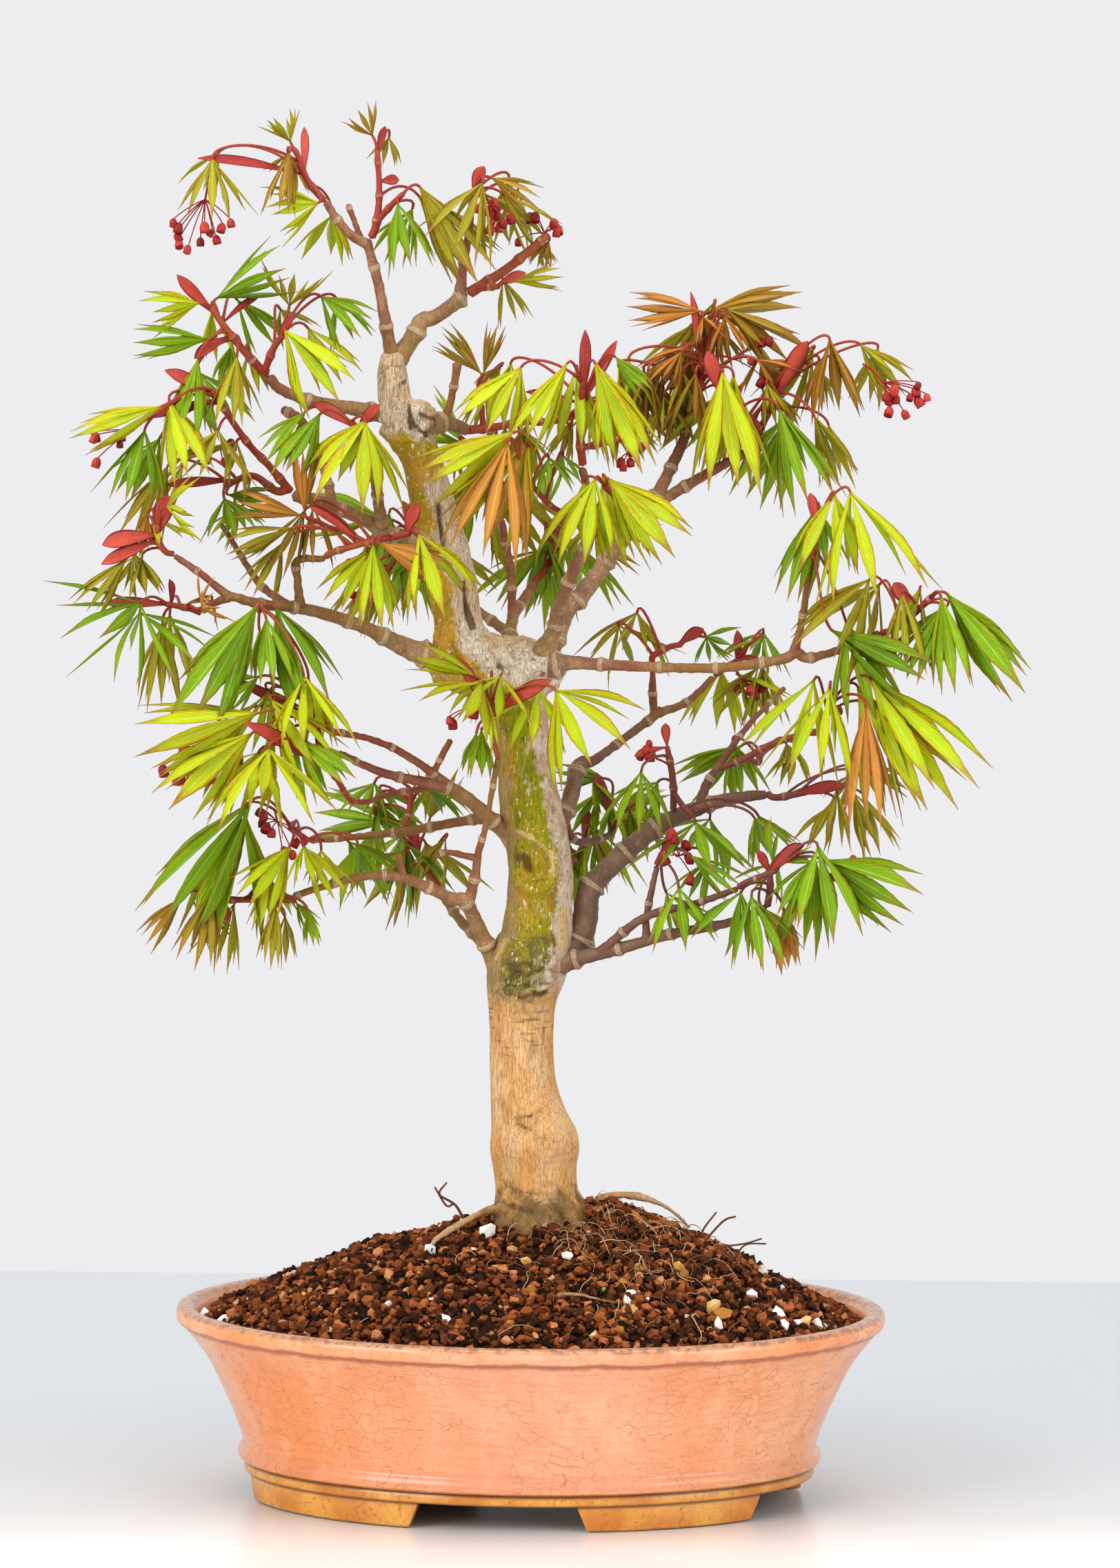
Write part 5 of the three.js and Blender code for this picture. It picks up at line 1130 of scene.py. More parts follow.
# Small hanging cups of the flowers, round the point where their threads meet.
FLOWERS = [
    (
        (-139, -16, 441),
        [(-155, 416), (-153, 410), (-149, 405), (-144, 408), (-142, 414), (-137, 409), (-135, 414)],
    ),
    ((-27, -8, 431), [(-28, 423), (-24, 422), (-22, 425), (-23, 417), (-18, 417), (-15, 419), (-20, 415)]),
    ((1, 12, 412), [(3, 417), (4, 413), (-7, 419), (-12, 409)]),
    ((-158, -44, 338), [(-186, 327), (-185, 317), (-175, 325)]),
    ((-133, -18, 324), [(-143, 322), (-140, 318), (-131, 324), (-133, 317)]),
    ((-68, 26, 257), [(-81, 260), (-79, 257)]),
    ((-136, -64, 207), [(-147, 201), (-155, 192), (-150, 187), (-146, 186), (-136, 188)]),
    ((-111, -34, 174), [(-117, 172), (-116, 167), (-112, 163), (-102, 159), (-103, 155), (-98, 161)]),
    ((-26, -46, 222), [(-38, 212), (-28, 215)]),
    ((35, -8, 325), [(37, 322), (32, 318), (36, 318)]),
    ((70, 18, 362), [(91, 368), (91, 351), (87, 360)]),
    ((133, 4, 360), [(143, 346), (144, 340), (147, 345), (151, 339), (153, 346), (156, 351), (157, 344)]),
    ((83, 64, 225), [(89, 218), (93, 220), (92, 216), (84, 219)]),
    ((54, 6, 190), [(44, 197), (42, 194), (45, 195)]),
    ((57, -18, 154), [(52, 155), (61, 158), (55, 163), (63, 144), (63, 152)]),
    ((119, -48, 154), [(123, 149), (125, 152), (131, 154), (133, 143), (139, 143)]),
    ((-52, 62, 272), [(-80, 268), (-76, 262), (-71, 265)]),
]

print("routes:", len(TRUNK) + sum(map(len, BRANCHES.values())), "shoots:", len(SHOOTS))

# %% [markdown]
# ## Round wood from a route
#
# A route is only a handful of points, so `eased` draws a smooth curve through them first, the same
# kind that an artist draws with a bent strip of wood. `round_wood` then sets a ring of points
# square to the way at each place, as an extruded circle would, and closes both ends. There are
# hundreds of twigs and stalks, so this is done with arrays: it gives what the extrude operator
# gives, in a fraction of the time.

# %% Curves and round wood
SOIL_CROWN = 120.5


def real(route):
    return [(x * MM, y * MM, (z + SOIL_CROWN) * MM, *(r * MM for r in rest)) for x, y, z, *rest in route]


def eased(route, step):
    points = np.array(route, float)
    padded = np.vstack([2 * points[0] - points[1], points, 2 * points[-1] - points[-2]])
    made = []
    for i in range(len(points) - 1):
        a, b, c, d = padded[i:i + 4]
        count = max(2, math.ceil(np.linalg.norm((c - b)[:3]) / step))
        t = np.linspace(0, 1, count, endpoint=False)[:, None]
        bend = (2 * a - 5 * b + 4 * c - d) * t ** 2
        twist = (3 * b - a - 3 * c + d) * t ** 3
        made.append(0.5 * (2 * b + (c - a) * t + bend + twist))
    return np.vstack([*made, points[-1:]])


def unit(vectors):
    return vectors / np.maximum(np.linalg.norm(vectors, axis=-1, keepdims=True), 1e-12)


def frames_along(line):
    way = unit(np.gradient(line, axis=0))
    across = np.empty_like(way)
    side = np.array([0.3, 1, 0.2])
    for i, direction in enumerate(way):
        side = unit(side - direction * side.dot(direction))
        across[i] = side
    return way, across, np.cross(way, across)


def round_wood(path, sides):
    line, radius = path[:, :3], path[:, 3]
    way, across, along = frames_along(line)
    angle = np.linspace(0, 2 * np.pi, sides, endpoint=False)
    ring = across[:, None] * np.cos(angle)[:, None] + along[:, None] * np.sin(angle)[:, None]
    walls = (line[:, None] + ring * radius[:, None, None]).reshape(-1, 3)
    ends = np.array([line[0] - way[0] * radius[0] * 0.5, line[-1] + way[-1] * radius[-1] * 0.6])
    last = len(walls)
    faces = []
    for i in range(len(line) - 1):
        low, high = i * sides, (i + 1) * sides
        faces += [(low + k, low + (k + 1) % sides, high + (k + 1) % sides, high + k) for k in range(sides)]
    top = (len(line) - 1) * sides
    faces += [(last, (k + 1) % sides, k) for k in range(sides)]
    faces += [(last + 1, top + k, top + (k + 1) % sides) for k in range(sides)]
    return np.vstack([walls, ends]), faces


def per_point(numbers, sides):
    return np.concatenate([np.repeat(numbers, sides), numbers[[0, -1]]])


class Bundle:
    def __init__(self):
        self.points, self.faces, self.values, self.uv, self.count = [], [], {}, [], 0

    def add(self, points, faces, uv=None, **values):
        self.points.append(points)
        self.faces += [tuple(i + self.count for i in face) for face in faces]
        for label, number in values.items():
            self.values.setdefault(label, []).append(np.broadcast_to(number, len(points)))
        if uv is not None:
            self.uv.append(uv)
        self.count += len(points)

    def piece(self, name):
        values = {label: np.concatenate(parts) for label, parts in self.values.items()}
        uv = np.concatenate(self.uv) if self.uv else None
        return piece_from(name, np.concatenate(self.points), self.faces, values, uv)


print("a test twig:", len(round_wood(eased(real(BRANCHES["back"][0]), 2 * MM), 12)[0]), "points")

# %% [markdown]
# ## The trunk
#
# The trunk swells at an old knob, tapers, forks at a crotch and dies back to bare wood at the top.
# Surface roots spread from its base. In the real tree these flow into each other with no seam, so
# the routes are first made as separate closed tubes and joined. The Remesh modifier then melts
# them into one skin, and a Smooth modifier rounds the places where they meet.

# %% Melt the trunk into one skin
trunk_wood = Bundle()
for name, route in TRUNK.items():
    trunk_wood.add(*round_wood(eased(real(route), 2 * MM), 28))
trunk = trunk_wood.piece("trunk_wood")
apply(trunk, "REMESH", mode="VOXEL", voxel_size=1.15 * MM, use_smooth_shade=True)
apply(trunk, "SMOOTH", factor=0.6, iterations=7)
print("trunk skin:", len(trunk.data.vertices), "points")

# %% [markdown]
# ## Scars, fissures and burls
#
# A smooth skin still looks like plastic. Each point is now pushed along its normal by a sum of
# small shapes. Noise that is stretched along the trunk gives bark ridges. Rings round a centre
# give the wrinkles of a healed pruning scar. Narrow dents give the slits in the dead wood.
# Four numbers are kept for the bark material: how far round to the right a point lies, how rough
# the skin is there, and how strongly dark and pale marks cover it. A mark is a short stroke from
# one place to another, with a width and a weight.

# %% Shape the bark
stem_line = eased(real(TRUNK["stem"]), 2 * MM)


def dent(x, z, middle, size, depth):
    return depth * np.exp(-((x - middle[0]) / size[0]) ** 2 - ((z - middle[1]) / size[1]) ** 2)


def strokes(x, z, start, end, width):
    way = np.subtract(end, start)
    share = np.clip(((x - start[0]) * way[0] + (z - start[1]) * way[1]) / way.dot(way), 0, 1)
    away = np.hypot(x - start[0] - share * way[0], z - start[1] - share * way[1])
    return np.exp(-(away / width) ** 2)


# Dark marks: partly the scars' own dark bark and partly painted shade inside the scar's dents and the slits
# of the dead wood, laid where the skin is pushed in.
DARK_MARKS = [
    ((-10, 163), (-3, 164), 1.0, 0.5), ((-3, 164), (6, 170), 0.9, 0.4), ((-8, 161), (-2, 158), 1.2, 0.5),
    ((-15, 161), (-9, 160), 0.9, 0.3), ((-2, 160), (1, 165), 0.9, 0.35), ((-4, 150), (-3, 148), 0.9, 0.4),
    ((-10, 156), (-1, 152), 0.8, 0.25), ((-1, 152), (11, 153), 0.8, 0.25), ((11, 153), (16, 157), 0.8, 0.2),
    ((-8, 214), (3, 216), 1.5, 1), ((-11, 219), (5, 220), 0.9, 0.6), ((-12, 208), (7, 207), 0.8, 0.4),
    ((-9, 225), (-2, 223), 1.4, 0.6), ((4, 226), (9, 224), 1.2, 0.6), ((6, 232), (6, 254), 0.8, 0.5),
    ((-7, 273), (-5, 268), 2.4, 0.9), ((-9, 280), (-9, 268), 0.8, 0.6), ((-3, 263), (3, 264), 0.8, 0.5),
    ((-44, 420), (-42, 402), 1.2, 1.3), ((-33, 387), (-29, 369), 1.2, 1.3),
    ((-57, 462), (-56, 452), 1.1, 1.1), ((-57, 456), (-50, 449), 1.0, 0.9),
    ((-50, 449), (-43, 452), 1.0, 0.9), ((-43, 452), (-42, 460), 1.0, 0.8),
    ((-52, 458), (-47, 456), 1.3, 0.9), ((-61, 470), (-58, 472), 1.2, 0.8),
    ((-63, 478), (-57, 477), 1.0, 0.7), ((-30, 352), (-12, 353), 1.2, 0.5),
    ((-22, 360), (-16, 350), 1.0, 0.6), ((-38, 363), (-34, 352), 1.0, 0.6),
    ((-9, 132), (10, 131), 1.6, 0.5), ((-14, 127), (-2, 124), 2.0, 0.7), ((8, 126), (14, 118), 2.2, 0.7),
]
PALE_MARKS = [
    ((-10, 284), (-4, 282), 0.9, 0.9), ((-4, 282), (4, 275), 0.9, 0.8), ((4, 275), (5, 268), 0.8, 0.7),
    ((5, 268), (-3, 264), 0.8, 0.7), ((10, 236), (11, 250), 2.6, 0.9), ((-14, 238), (-18, 230), 1.8, 0.6),
    ((8, 205), (-8, 206), 1.2, 0.5), ((-10, 199), (9, 198), 1.2, 0.5), ((4, 117), (6, 113), 3.2, 0.8),
]


def wrinkles(x, z, middle, reach, spacing, depth):
    away = np.hypot(x - middle[0], (z - middle[1]) * 1.15)
    return depth * np.cos(away / spacing * 2 * np.pi) * np.exp(-(away / reach) ** 2)


print("bark marks:", len(DARK_MARKS), "dark,", len(PALE_MARKS), "pale")


# %% Push the skin in and out
def noisy(kind, places, across, along, *rest):
    return np.array([kind(Vector((a * across, b * across, c * along)), *rest) for a, b, c in places])


def shape_bark(piece):
    mesh = piece.data
    co = np.empty(len(mesh.vertices) * 3)
    mesh.vertices.foreach_get("co", co)
    co = co.reshape(-1, 3)
    normal = np.array([v.normal for v in mesh.vertices])
    x, y, z = (co / MM).T
    axis_x = np.interp(co[:, 2], stem_line[:, 2], stem_line[:, 0]) / MM
    girth = np.interp(co[:, 2], stem_line[:, 2], stem_line[:, 3]) / MM
    side = (x - axis_x) / girth
    front = -(y - np.interp(co[:, 2], stem_line[:, 2], stem_line[:, 1]) / MM) / girth
    places = co / MM
    ridge = noisy(noise.fractal, places, 0.32, 0.045, 0.9, 2.1, 4)
    lump = noisy(noise.noise, places, 0.06, 0.05)
    flake = noisy(noise.fractal, places, 0.2, 0.12, 0.8, 2.2, 3)
    facing = np.clip(front * 1.4, 0, 1)
    push = 0.3 * ridge + 0.8 * lump
    push += 0.5 * flake * np.clip((z - 205) / 20, 0, 1)
    knob = np.exp(-((z - 152) / 11) ** 2) * np.clip(side * 1.5 + 0.6, 0, 1)
    push += 0.8 * knob * (1 + flake)
    push += facing * (1.6 * dent(x, z, (7, 157), (8, 9), 1) - 1.3 * dent(x, z, (-6, 158), (5, 4), 1))
    push += facing * wrinkles(x, z, (7, 157), 13, 3.4, 0.3)
    push += facing * wrinkles(x, z, (-6, 158), 8, 2.8, 0.35)
    push += facing * wrinkles(x, z, (0, 222), 15, 5.2, 0.55) * (z < 232)
    away = np.hypot(x + 2, (z - 270) * 0.72)
    push += facing * (2.4 * np.exp(-((away - 8) / 2.2) ** 2) - 1.6 * np.exp(-((away - 3.4) / 2) ** 2))
    push -= facing * dent(x, z, (-43, 411), (1.9, 11), 2.8)
    push -= facing * dent(x, z, (-31, 378), (1.7, 11), 3.2)
    push -= facing * dent(x, z, (-57, 457), (1.6, 5), 1.8)
    push += facing * dent(x, z, (-48, 396), (4, 5), 1.6)
    push += 2.0 * np.exp(-((z - 355) / 9) ** 2) * (0.4 + flake)
    push += 1.5 * np.exp(-((z - 452) / 9) ** 2) * (0.5 + 2 * flake)
    co += normal * (push * MM)[:, None]
    mesh.vertices.foreach_set("co", co.ravel())
    ragged = 1 + 0.5 * flake + 0.3 * ridge
    dark = sum(strokes(x, z, a, b, width) * weight for a, b, width, weight in DARK_MARKS)
    pale = sum(strokes(x, z, a, b, width) * weight for a, b, width, weight in PALE_MARKS)
    worn = facing * ragged
    kept = {"side": side, "relief": ridge + flake, "dark": dark * worn, "pale": pale * worn}
    for label, numbers in kept.items():
        layer = mesh.attributes.new(label, "FLOAT", "POINT")
        layer.data.foreach_set("value", numbers.astype(np.float32))
    mesh.update()


shape_bark(trunk)
print("bark shaped, top at", round(max(v.co.z for v in trunk.data.vertices), 3))

# %% [markdown]
# ## The bark's colours
#
# One trunk shows four kinds of bark. Below the dark crescent scar it is warm tan with fine upright
# fissures. Above, it is green with algae, flecked with grey, and a pale skin peels on its right.
# Over the fork it is bleached dead wood, with a live olive strip up its left side.
# The material blends from one to the next by height, and noise breaks up each border.

# %% The bark
bark, tree, shader, place = surface("bark", Roughness=0.85, Specular_IOR_Level=0.12)
height = node(tree, "SeparateXYZ", {"Vector": place}).outputs["Z"]
side = node(tree, "Attribute", attribute_name="side").outputs["Fac"]
relief = node(tree, "Attribute", attribute_name="relief").outputs["Fac"]
dark = node(tree, "Attribute", attribute_name="dark").outputs["Fac"]
pale = node(tree, "Attribute", attribute_name="pale").outputs["Fac"]
ragged = sums(tree, "SUBTRACT", grain_noise(tree, place, 110, 6, 0.7), 0.5)
level = sums(tree, "ADD", height, sums(tree, "MULTIPLY", ragged, 0.045))
drift = sums(tree, "ADD", side, sums(tree, "MULTIPLY", ragged, 1.6))
upright = place_effect(tree, fissures, {"Where": place, "Across": 1300.0, "Along": 90.0, "Width": 0.035})
wide = place_effect(tree, fissures, {"Where": place, "Across": 420.0, "Along": 45.0, "Width": 0.02})
dashes = fade(tree, grain_noise(tree, stretched(tree, place, (1, 1, 0.35)), 850, 2, 0.4), 0.64, 0.7)
tan = clouded(
    tree, stretched(tree, place, (1, 1, 0.5)), 70.0, 800.0,
    "dfa35e", "ecc08c", "a86c34", 0.35)
tan_lined = tint(tree, upright["Lines"], 0.35, tan["Colour"], "9c6a3c")
tan_deep = tint(tree, wide["Lines"], 0.3, tan_lined, "8a5a30")
# Base: dark mossy brown below the tan, partly the base's own moss and fibre and partly painted shade where
# the base sits low among the roots; roots running out to the sides stay pale.
moss_and_shade = clouded(
    tree, stretched(tree, place, (1, 1, 0.3)), 140.0, 700.0,
    "5e4a30", "94703e", "241a0e", 0.7)
bare_root = fade(tree, sums(tree, "ABSOLUTE", side), 1.1, 1.35)
base_moss_and_shade = blend(tree, bare_root, moss_and_shade["Colour"], paint("c29a74"))
base_moss_and_painted_shade = blend(tree, sums(tree, "MULTIPLY", fade(tree, level, 0.135, 0.126), 0.85), tan_deep, base_moss_and_shade)
ripples = fade(tree, grain_noise(tree, stretched(tree, place, (0.16, 0.16, 1)), 700, 3, 0.5), 0.55, 0.68)
wrinkled = sums(tree, "MULTIPLY", fade(tree, level, 0.182, 0.196), 0.7)
arched = blend(tree, sums(tree, "MULTIPLY", ripples, wrinkled), base_moss_and_painted_shade, paint("7a5128"))
print("bark: warm lower trunk mixed")

# %% The bark's green middle
algae = clouded(
    tree, stretched(tree, place, (1, 1, 0.4)), 95.0, 700.0,
    "8c9010", "b49a22", "44420e", 0.6)
tan_patches = fade(tree, grain_noise(tree, stretched(tree, place, (1, 1, 0.35)), 75, 5, 0.6), 0.52, 0.66)
algae_warm = tint(tree, tan_patches, 0.9, algae["Colour"], "c8922e")
algae_dark = tint(tree, upright["Lines"], 0.35, algae_warm, "57500e")
soot = fade(tree, grain_noise(tree, place, 240, 4, 0.65), 0.4, 0.56)
old_scar = sums(tree, "MULTIPLY", fade(tree, level, 0.25, 0.222), 0.8)
dulled = tint(tree, old_scar, 0.6, algae_dark, "7e744a")
sooty = blend(tree, sums(tree, "MULTIPLY", soot, old_scar), dulled, paint("4a4032"))
flecked = tint(tree, dashes, 0.8, sooty, "e6e2d4")
peel = clouded(
    tree, place, 120.0, 500.0,
    "e2cfb4", "c3a184", "6e5a48", 0.6)
loose_scales = fade(tree, grain_noise(tree, stretched(tree, place, (1, 1, 0.4)), 170, 5, 0.7), 0.52, 0.6)
scaly = sums(tree, "MULTIPLY", loose_scales, fade(tree, drift, -0.2, 0.5))
patchy = blend(tree, scaly, flecked, paint("cdb592"))
peeled = blend(tree, fade(tree, drift, 0.42, 0.6), patchy, peel["Colour"])
scaly_left = blend(tree, sums(tree, "MULTIPLY", fade(tree, drift, -0.45, -0.8), 0.8), peeled, paint("b3925f"))
print("bark: green middle mixed")

# %% The bark's dead wood, and how the zones join
dead = clouded(
    tree, stretched(tree, place, (1, 1, 0.35)), 60.0, 500.0,
    "f6e8d2", "dfbf94", "7e5a3a", 0.6)
dead_lined = tint(tree, upright["Lines"], 0.6, dead["Colour"], "a9825a")
dead_deep = tint(tree, wide["Lines"], 0.8, dead_lined, "6e4c36")
live_strip = clouded(
    tree, place, 90.0, 500.0,
    "b4961c", "d6a23a", "f6f2e4", 0.9)
leader = blend(tree, fade(tree, drift, 0.0, -0.3), dead_deep, live_strip["Colour"])
upper = blend(tree, fade(tree, level, 0.424, 0.438), leader, live_strip["Colour"])
crown = blend(tree, fade(tree, level, 0.444, 0.452), upper, dead_deep)
low_to_mid = blend(tree, fade(tree, level, 0.206, 0.222), arched, scaly_left)
mid_to_top = blend(tree, fade(tree, level, 0.335, 0.355), low_to_mid, crown)
healed = blend(tree, sums(tree, "MULTIPLY", fade(tree, pale, 0.3, 0.7), 0.85), mid_to_top, paint("deb77c"))
# Dark marks: scar colour, and painted shade in the dents and slits.
scars_and_painted_shade = blend(tree, sums(tree, "MULTIPLY", fade(tree, dark, 0.15, 0.85), 0.85), healed, paint("56381e"))
# Painted shade: the bark is painted darker where its relief is low, in the hollows of the skin.
hollow_painted_shade = sums(tree, "MULTIPLY", fade(tree, relief, -0.35, -0.9), 0.3)
tree.links.new(blend(tree, hollow_painted_shade, scars_and_painted_shade, paint("6e4c30")), shader.inputs["Base Color"])
grit = grain_noise(tree, place, 900, 4, 0.6)
height_sum = sums(tree, "ADD", upright["Relief"], sums(tree, "MULTIPLY", grit, 0.4))
grooved = sums(tree, "SUBTRACT", height_sum, sums(tree, "MULTIPLY", upright["Lines"], 0.5))
bumped(tree, shader, grooved, 0.7, 0.0009)
finish(trunk, bark, "bark", "trunk")

# %% [markdown]
# ## Branches
#
# The older branches are grey-brown rods that taper and change direction at every node. A maple's
# nodes come in pairs and leave a pale ring with a slight swelling, which is what makes a twig look
# like maple and not like wire. The rings are put in by thickening the path at even distances and
# by writing a number there, which the material turns into cream.

# %% Grow the branches
def with_nodes(path, spacing, swell, start=0.0):
    steps = np.linalg.norm(np.diff(path[:, :3], axis=0), axis=1)
    run = np.concatenate([[0], np.cumsum(steps)])
    ring = np.zeros(len(path))
    place = start + spacing * rng.uniform(0.5, 0.8)
    while place < run[-1]:
        ring = np.maximum(ring, np.exp(-((run - place) / (1.5 * MM)) ** 2))
        place += spacing * rng.uniform(0.75, 1.3)
    thick = path.copy()
    thick[:, 3] *= 1 + swell * ring
    return thick, ring


def rough_tube(path, sides, uneven):
    points, faces = round_wood(path, sides)
    shift = [noise.noise(Vector(p) * 420) * uneven for p in points]
    middle = np.vstack([np.repeat(path[:, :3], sides, axis=0), path[[0, -1], :3]])
    return points + unit(points - middle) * np.array(shift)[:, None], faces


BRANCH_SIDES = 12
STEM_SIDES = 8
branch_wood = Bundle()
for name, routes in BRANCHES.items():
    for number, route in enumerate(routes):
        path = eased(real(route), 0.9 * MM)
        path, ring = with_nodes(path, 21 * MM, 0.32)
        flare = np.exp(-np.arange(len(path)) / 5.0) * (0.35 if number == 0 else 0.2)
        path[:, 3] *= 1 + flare
        points, faces = rough_tube(path, BRANCH_SIDES, 0.35 * MM)
        age = np.clip((path[:, 3] / MM - 1.4) / 2.2, 0, 1)
        branch_wood.add(
            points, faces, ring=per_point(ring, BRANCH_SIDES), age=per_point(age, BRANCH_SIDES))
branches = branch_wood.piece("branches")
print("branch points:", branch_wood.count)

# %% [markdown]
# ## Twig bark
#
# Young twigs are reddish and smooth, older ones are grey-brown with small pale breathing pores.
# The age of the wood goes with its thickness, so that number is on the points too, and the same
# material serves the branches and the new season's stems.

# %% Twig bark
def twig_bark(name, young, old, old_cloud, stained):
    material, tree, shader, place = surface(name, Roughness=0.5, Specular_IOR_Level=0.25)
    age = node(tree, "Attribute", attribute_name="age").outputs["Fac"]
    ring = node(tree, "Attribute", attribute_name="ring").outputs["Fac"]
    grey = clouded(
        tree, place, 110.0, 900.0,
        old, old_cloud, "d8c4ab", 0.7)
    patches = sums(tree, "MULTIPLY", sums(tree, "SUBTRACT", grey["Mask"], 0.5), 0.5)
    mixed_age = sums(tree, "ADD", age, patches, clamp=True)
    olive = sums(tree, "MULTIPLY", fade(tree, grain_noise(tree, place, 16, 3), 0.44, 0.62), 0.55)
    skin = blend(tree, olive, blend(tree, mixed_age, paint(young), grey["Colour"]), paint(stained))
    where = node(tree, "SeparateXYZ", {"Vector": place}).outputs
    low_right = sums(tree, "MULTIPLY", fade(tree, where["Z"], 0.34, 0.3), fade(tree, where["X"], 0.0, 0.02))
    greyed = tint(tree, low_right, 0.6, skin, "5c4a40")
    worn = sums(tree, "MULTIPLY", grain_noise(tree, place, 260, 3), 0.9)
    cream = fade(tree, sums(tree, "ADD", ring, worn), 0.95, 1.3)
    ringed = tint(tree, cream, 0.6, greyed, "d9bf9c")
    scar = fade(tree, ring, 0.9, 0.98)
    knuckled = tint(tree, scar, 0.55, ringed, "5a4030")
    lines = place_effect(tree, fissures, {"Where": place, "Across": 700.0, "Along": 200.0, "Width": 0.05})
    lined = tint(tree, lines["Lines"], 0.4, knuckled, "4a3226")
    tree.links.new(lined, shader.inputs["Base Color"])
    bumped(tree, shader, lines["Relief"], 0.5, 0.0005)
    return material


old_twigs = twig_bark("old_twigs", "8e4a34", "886850", "ba9068", "94742e")
finish(branches, old_twigs, "twig_bark", *(f"branch_{name}" for name in BRANCHES))

# %% [markdown]
# ## One leaf finger, used over a thousand times
#
# A leaf of this maple is a hand of seven to nine narrow fingers that hang like a half-closed
# umbrella. Only one finger is designed: its outline widens, then draws out to a long thin tip, with
# forward-pointing teeth; its cross-section is folded along the vein. Each finger of each leaf is
# that shape bent along its own curve: it springs outwards from the stalk, then droops.
# The finger has an upper and an under side that meet at the edges, so it is a closed body.

# %% The finger and the way it bends
OUTLINE_AT = [0, 0.08, 0.19, 0.32, 0.46, 0.6, 0.73, 0.84, 0.93, 1]
OUTLINE_WIDE = [0.16, 0.2, 0.38, 0.68, 0.94, 0.98, 0.7, 0.36, 0.14, 0.02]
BRACT_WIDE = [0.22, 0.26, 0.4, 0.62, 0.86, 1, 0.98, 0.8, 0.45, 0.08]
SECTION_ACROSS = np.array([-1, -0.5, 0, 0.5, 1, 0.5, 0, -0.5])
SECTION_UNDER = np.array([0, 0, 0, 0, 0, 1, 1, 1])
FINGER_RINGS = 18


def blade(start, heading, upper, length, width, droop, curl, fold, teeth, outline, thickness=0.36):
    t = np.linspace(0, 1, FINGER_RINGS)
    down = np.array([0, 0, -1.0])
    ways = unit(heading + down * (droop * t ** 1.3)[:, None] - upper * (curl * (t - 0.25))[:, None])
    steps = np.diff(t, prepend=0)[:, None] * length
    line = start + np.cumsum(ways * steps, axis=0)
    up = unit(upper - ways * (ways @ upper)[:, None])
    across = np.cross(ways, up)
    half = np.interp(t, OUTLINE_AT, outline) * width / 2
    half = half * (1 + teeth * np.where(np.arange(FINGER_RINGS) % 2, 1, -1) * (t > 0.25) * (t < 0.96))
    wide = SECTION_ACROSS * half[:, None]
    thick = thickness * MM * (1 - 0.6 * t)[:, None]
    lift = np.abs(SECTION_ACROSS) ** 1.3 * fold * half[:, None] - SECTION_UNDER * thick
    points = line[:, None] + across[:, None] * wide[..., None] + up[:, None] * lift[..., None]
    shares = (SECTION_ACROSS, t[:, None])
    uv = np.stack([np.broadcast_to(share, wide.shape) for share in shares], -1)
    return points.reshape(-1, 3), uv.reshape(-1, 2)


def blade_faces():
    sides = len(SECTION_ACROSS)
    faces = []
    for i in range(FINGER_RINGS - 1):
        low, high = i * sides, (i + 1) * sides
        faces += [(low + k, high + k, high + (k + 1) % sides, low + (k + 1) % sides) for k in range(sides)]
    top = (FINGER_RINGS - 1) * sides
    return [(0, 1, 7), (1, 2, 6, 7), (2, 3, 5, 6), (3, 4, 5),
            *faces, (top + 1, top, top + 7), (top + 2, top + 1, top + 7, top + 6),
            (top + 3, top + 2, top + 6, top + 5), (top + 4, top + 3, top + 5)]


BLADE_FACES = blade_faces()
points, uv = blade(
    np.zeros(3), np.array([0, 0, -1.0]), np.array([0, -1.0, 0]), 0.04, 0.007, 0, 0, 0.4, 0.1, OUTLINE_WIDE)
test = piece_from("test_blade", points, BLADE_FACES)
work = bmesh.new()
work.from_mesh(test.data)
closed = all(len(e.link_faces) == 2 for e in work.edges)
print("a finger's faces:", len(work.faces), "closed:", closed, "volume:", work.calc_volume(signed=True))
work.free()
bpy.data.objects.remove(test)

# %% [markdown]
# ## Hang the leaves
#
# Every leaf hangs on a thin stalk that leaves the nearest free place on its stem, rises a little
# and bends over. Its fingers stand round the axis like the ribs of an umbrella: the middle one is
# the longest, and each one further round is shorter. A crown has more leaves than its outer ones,
# so each leaf also gets a plainer one near it, deeper inside.

# %% Leaves, stalks and stems
TONES = {"G": 0.12, "Y": 0.34, "O": 0.58, "B": 0.76, "R": 0.9, "D": 1.0}
SLIM = {"G": 0.125, "Y": 0.13, "O": 0.108, "B": 0.1, "R": 0.11, "D": 0.2}
FINGER_TURNS = (0, 38, -38, 76, -76, 113, -113, 150, -150)
SHARES = {0: 1.0, 38: 0.98, 76: 0.9, 113: 0.76, 150: 0.55}
LEAF_REACH = 1.12

stems_wood = Bundle()
bract_blades = Bundle()
leaf_sides = {"left": Bundle(), "centre": Bundle(), "right": Bundle(), "back": Bundle()}
inner_leaves = {"left": Bundle(), "centre": Bundle(), "right": Bundle(), "back": Bundle()}
INNER_TONES = {"G": "G", "Y": "Y", "O": "O", "B": "O", "R": "B", "D": "O"}


def side_of(name):
    if name.startswith("back") or name in ("lower_left_back", "right_back_out", "right_inner", "centre_back"):
        return "back"
    if name.startswith(("left", "lower", "low")):
        return "left"
    return "right" if name.startswith("right") else "centre"


def attach_places(stems):
    places = []
    for route in stems:
        path = eased(real(route), 2.2 * MM)[:, :3]
        places += list(path[max(1, len(path) // 3):])
    return places


def nearest_free(places, point):
    best = min(range(len(places)), key=lambda i: np.linalg.norm(places[i] - point))
    return places.pop(best) if len(places) > 1 else places[0]


